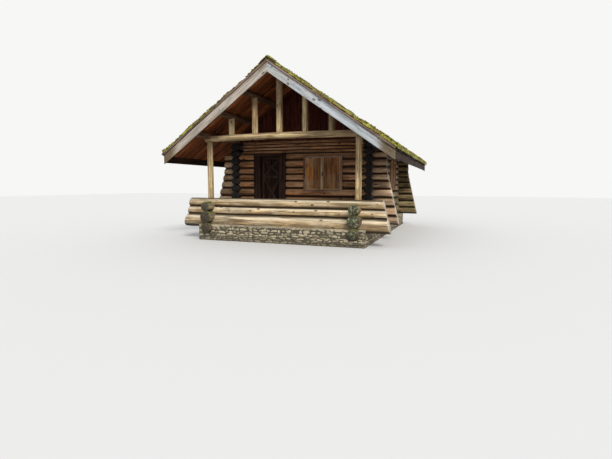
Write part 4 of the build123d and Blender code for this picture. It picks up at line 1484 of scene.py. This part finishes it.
class CABIN_OT_door(CabinOperator, bpy.types.Operator):
    """Hews the door frame and makes the boarded door"""

    bl_idname = "cabin.door"
    bl_label = "Door"

    def execute(self, context):
        rng = random.Random(90)
        grains = {"door_frame_left": Z, "door_frame_right": Z, "door_header": X, "door_sill": X}
        for node, grain in grains.items():
            set_down(node + "_timber", eased_copy(node, rng, 0.008, grain), "door_frame_wood", [node])
        boards = board_row(*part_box("door_leaf"), X, Z, DOOR_BOARD, rng, recess=0.002, bevel=0.003)
        set_down("door_boards", boards, "door_wood", ["door_leaf"], body="door")
        braces = eased_copy("door_bracing", rng, 0.003, Z)
        set_down("door_crossed_braces", braces, "door_wood", ["door_bracing"], "brace_wood", body="door")
        return {"FINISHED"}


class CABIN_OT_stage(CabinOperator, bpy.types.Operator):
    """Sets the floor, the light and the photograph's camera"""

    bl_idname = "cabin.stage"
    bl_label = "Stage"

    def execute(self, context):
        scene = context.scene
        ground = bmesh.new()
        bmesh.ops.create_grid(ground, x_segments=1, y_segments=1, size=FLOOR_REACH)
        data = bpy.data.meshes.new("studio_floor")
        ground.to_mesh(data)
        ground.free()
        data.materials.append(studio_floor_material((0.80, 0.80, 0.79), (0.30, 0.29, 0.27)))
        floor = bpy.data.objects.new("studio_floor", data)
        scene.collection.objects.link(floor)
        self.light(scene)
        self.camera(scene)
        scene.view_settings.view_transform = "Standard"
        return {"FINISHED"}

    def light(self, scene):
        """Soft sky and a soft sun; the eye sees a pale backdrop in place of the sky."""
        world = bpy.data.worlds.new("studio_world")
        scene.world = world
        world.use_nodes = True
        tree = ShaderTree(world.node_tree)
        sky = world.node_tree.nodes["Background"]
        tree.feed(sky.inputs["Color"], (0.95, 0.97, 1.0))
        tree.feed(sky.inputs["Strength"], SKY_STRENGTH)
        white = tree.node("Background", {"Color": (0.93, 0.93, 0.92), "Strength": 1.0})
        path = tree.node("LightPath", {})
        seen = tree.calc("ADD", path["Is Camera Ray"], path["Is Glossy Ray"], clamp=True)
        seen = tree.calc("ADD", seen, path["Is Transmission Ray"], clamp=True)
        backdrop = tree.node("MixShader", {0: seen, 1: sky.outputs[0], 2: white[0]})
        tree.feed(world.node_tree.nodes["World Output"].inputs["Surface"], backdrop[0])
        lamp = bpy.data.lights.new("soft_sun", "SUN")
        lamp.energy = SUN_STRENGTH
        lamp.angle = SUN_SPREAD
        lamp.color = (1.0, 0.97, 0.92)
        sun = bpy.data.objects.new("soft_sun", lamp)
        sun.rotation_euler = SUN_TURN
        scene.collection.objects.link(sun)

    def camera(self, scene):
        """Camera that stands where the photograph was taken."""
        lens = bpy.data.cameras.new("photo_camera")
        lens.sensor_width = SENSOR_WIDTH
        lens.lens = CAMERA_FOCAL_PIXELS / PHOTO_WIDTH * SENSOR_WIDTH
        lens.clip_end = 200.0
        camera = bpy.data.objects.new("photo_camera", lens)
        turn = (
            Matrix.Rotation(CAMERA_YAW, 4, "Z")
            @ Matrix.Rotation(math.radians(90) - CAMERA_PITCH, 4, "X")
            @ Matrix.Rotation(-CAMERA_ROLL, 4, "Z")
        )
        camera.matrix_world = Matrix.Translation(CAMERA_PLACE) @ turn
        scene.collection.objects.link(camera)
        scene.camera = camera


class CABIN_PT_panel(bpy.types.Panel):
    """Lists the cabin's settings and steps"""

    bl_idname = "CABIN_PT_panel"
    bl_label = "Log Cabin"
    bl_space_type = "VIEW_3D"
    bl_region_type = "UI"
    bl_category = "Cabin"

    def draw(self, context):
        column = self.layout.column()
        for name in CabinSettings.__annotations__:
            column.prop(context.scene.cabin_settings, name)
        for operator in OPERATORS:
            column.operator(operator.bl_idname)


OPERATORS = (
    CABIN_OT_finishes,
    CABIN_OT_stage,
    CABIN_OT_foundation,
    CABIN_OT_floors,
    CABIN_OT_logs,
    CABIN_OT_gables,
    CABIN_OT_roof,
    CABIN_OT_shakes,
    CABIN_OT_moss,
    CABIN_OT_windows,
    CABIN_OT_door,
)
CLASSES = (CabinSettings, *OPERATORS, CABIN_PT_panel)


def register():
    for kind in CLASSES:
        bpy.utils.register_class(kind)
    bpy.types.Scene.cabin_settings = bpy.props.PointerProperty(type=CabinSettings)


def unregister():
    del bpy.types.Scene.cabin_settings
    for kind in reversed(CLASSES):
        bpy.utils.unregister_class(kind)


def main():
    register()
    bpy.ops.cabin.finishes()
    bpy.ops.cabin.stage()
    bpy.ops.cabin.foundation()
    bpy.ops.cabin.floors()
    bpy.ops.cabin.logs()
    bpy.ops.cabin.gables()
    bpy.ops.cabin.roof()
    bpy.ops.cabin.shakes()
    bpy.ops.cabin.moss()
    bpy.ops.cabin.windows()
    bpy.ops.cabin.door()


if __name__ == "__main__":
    main()
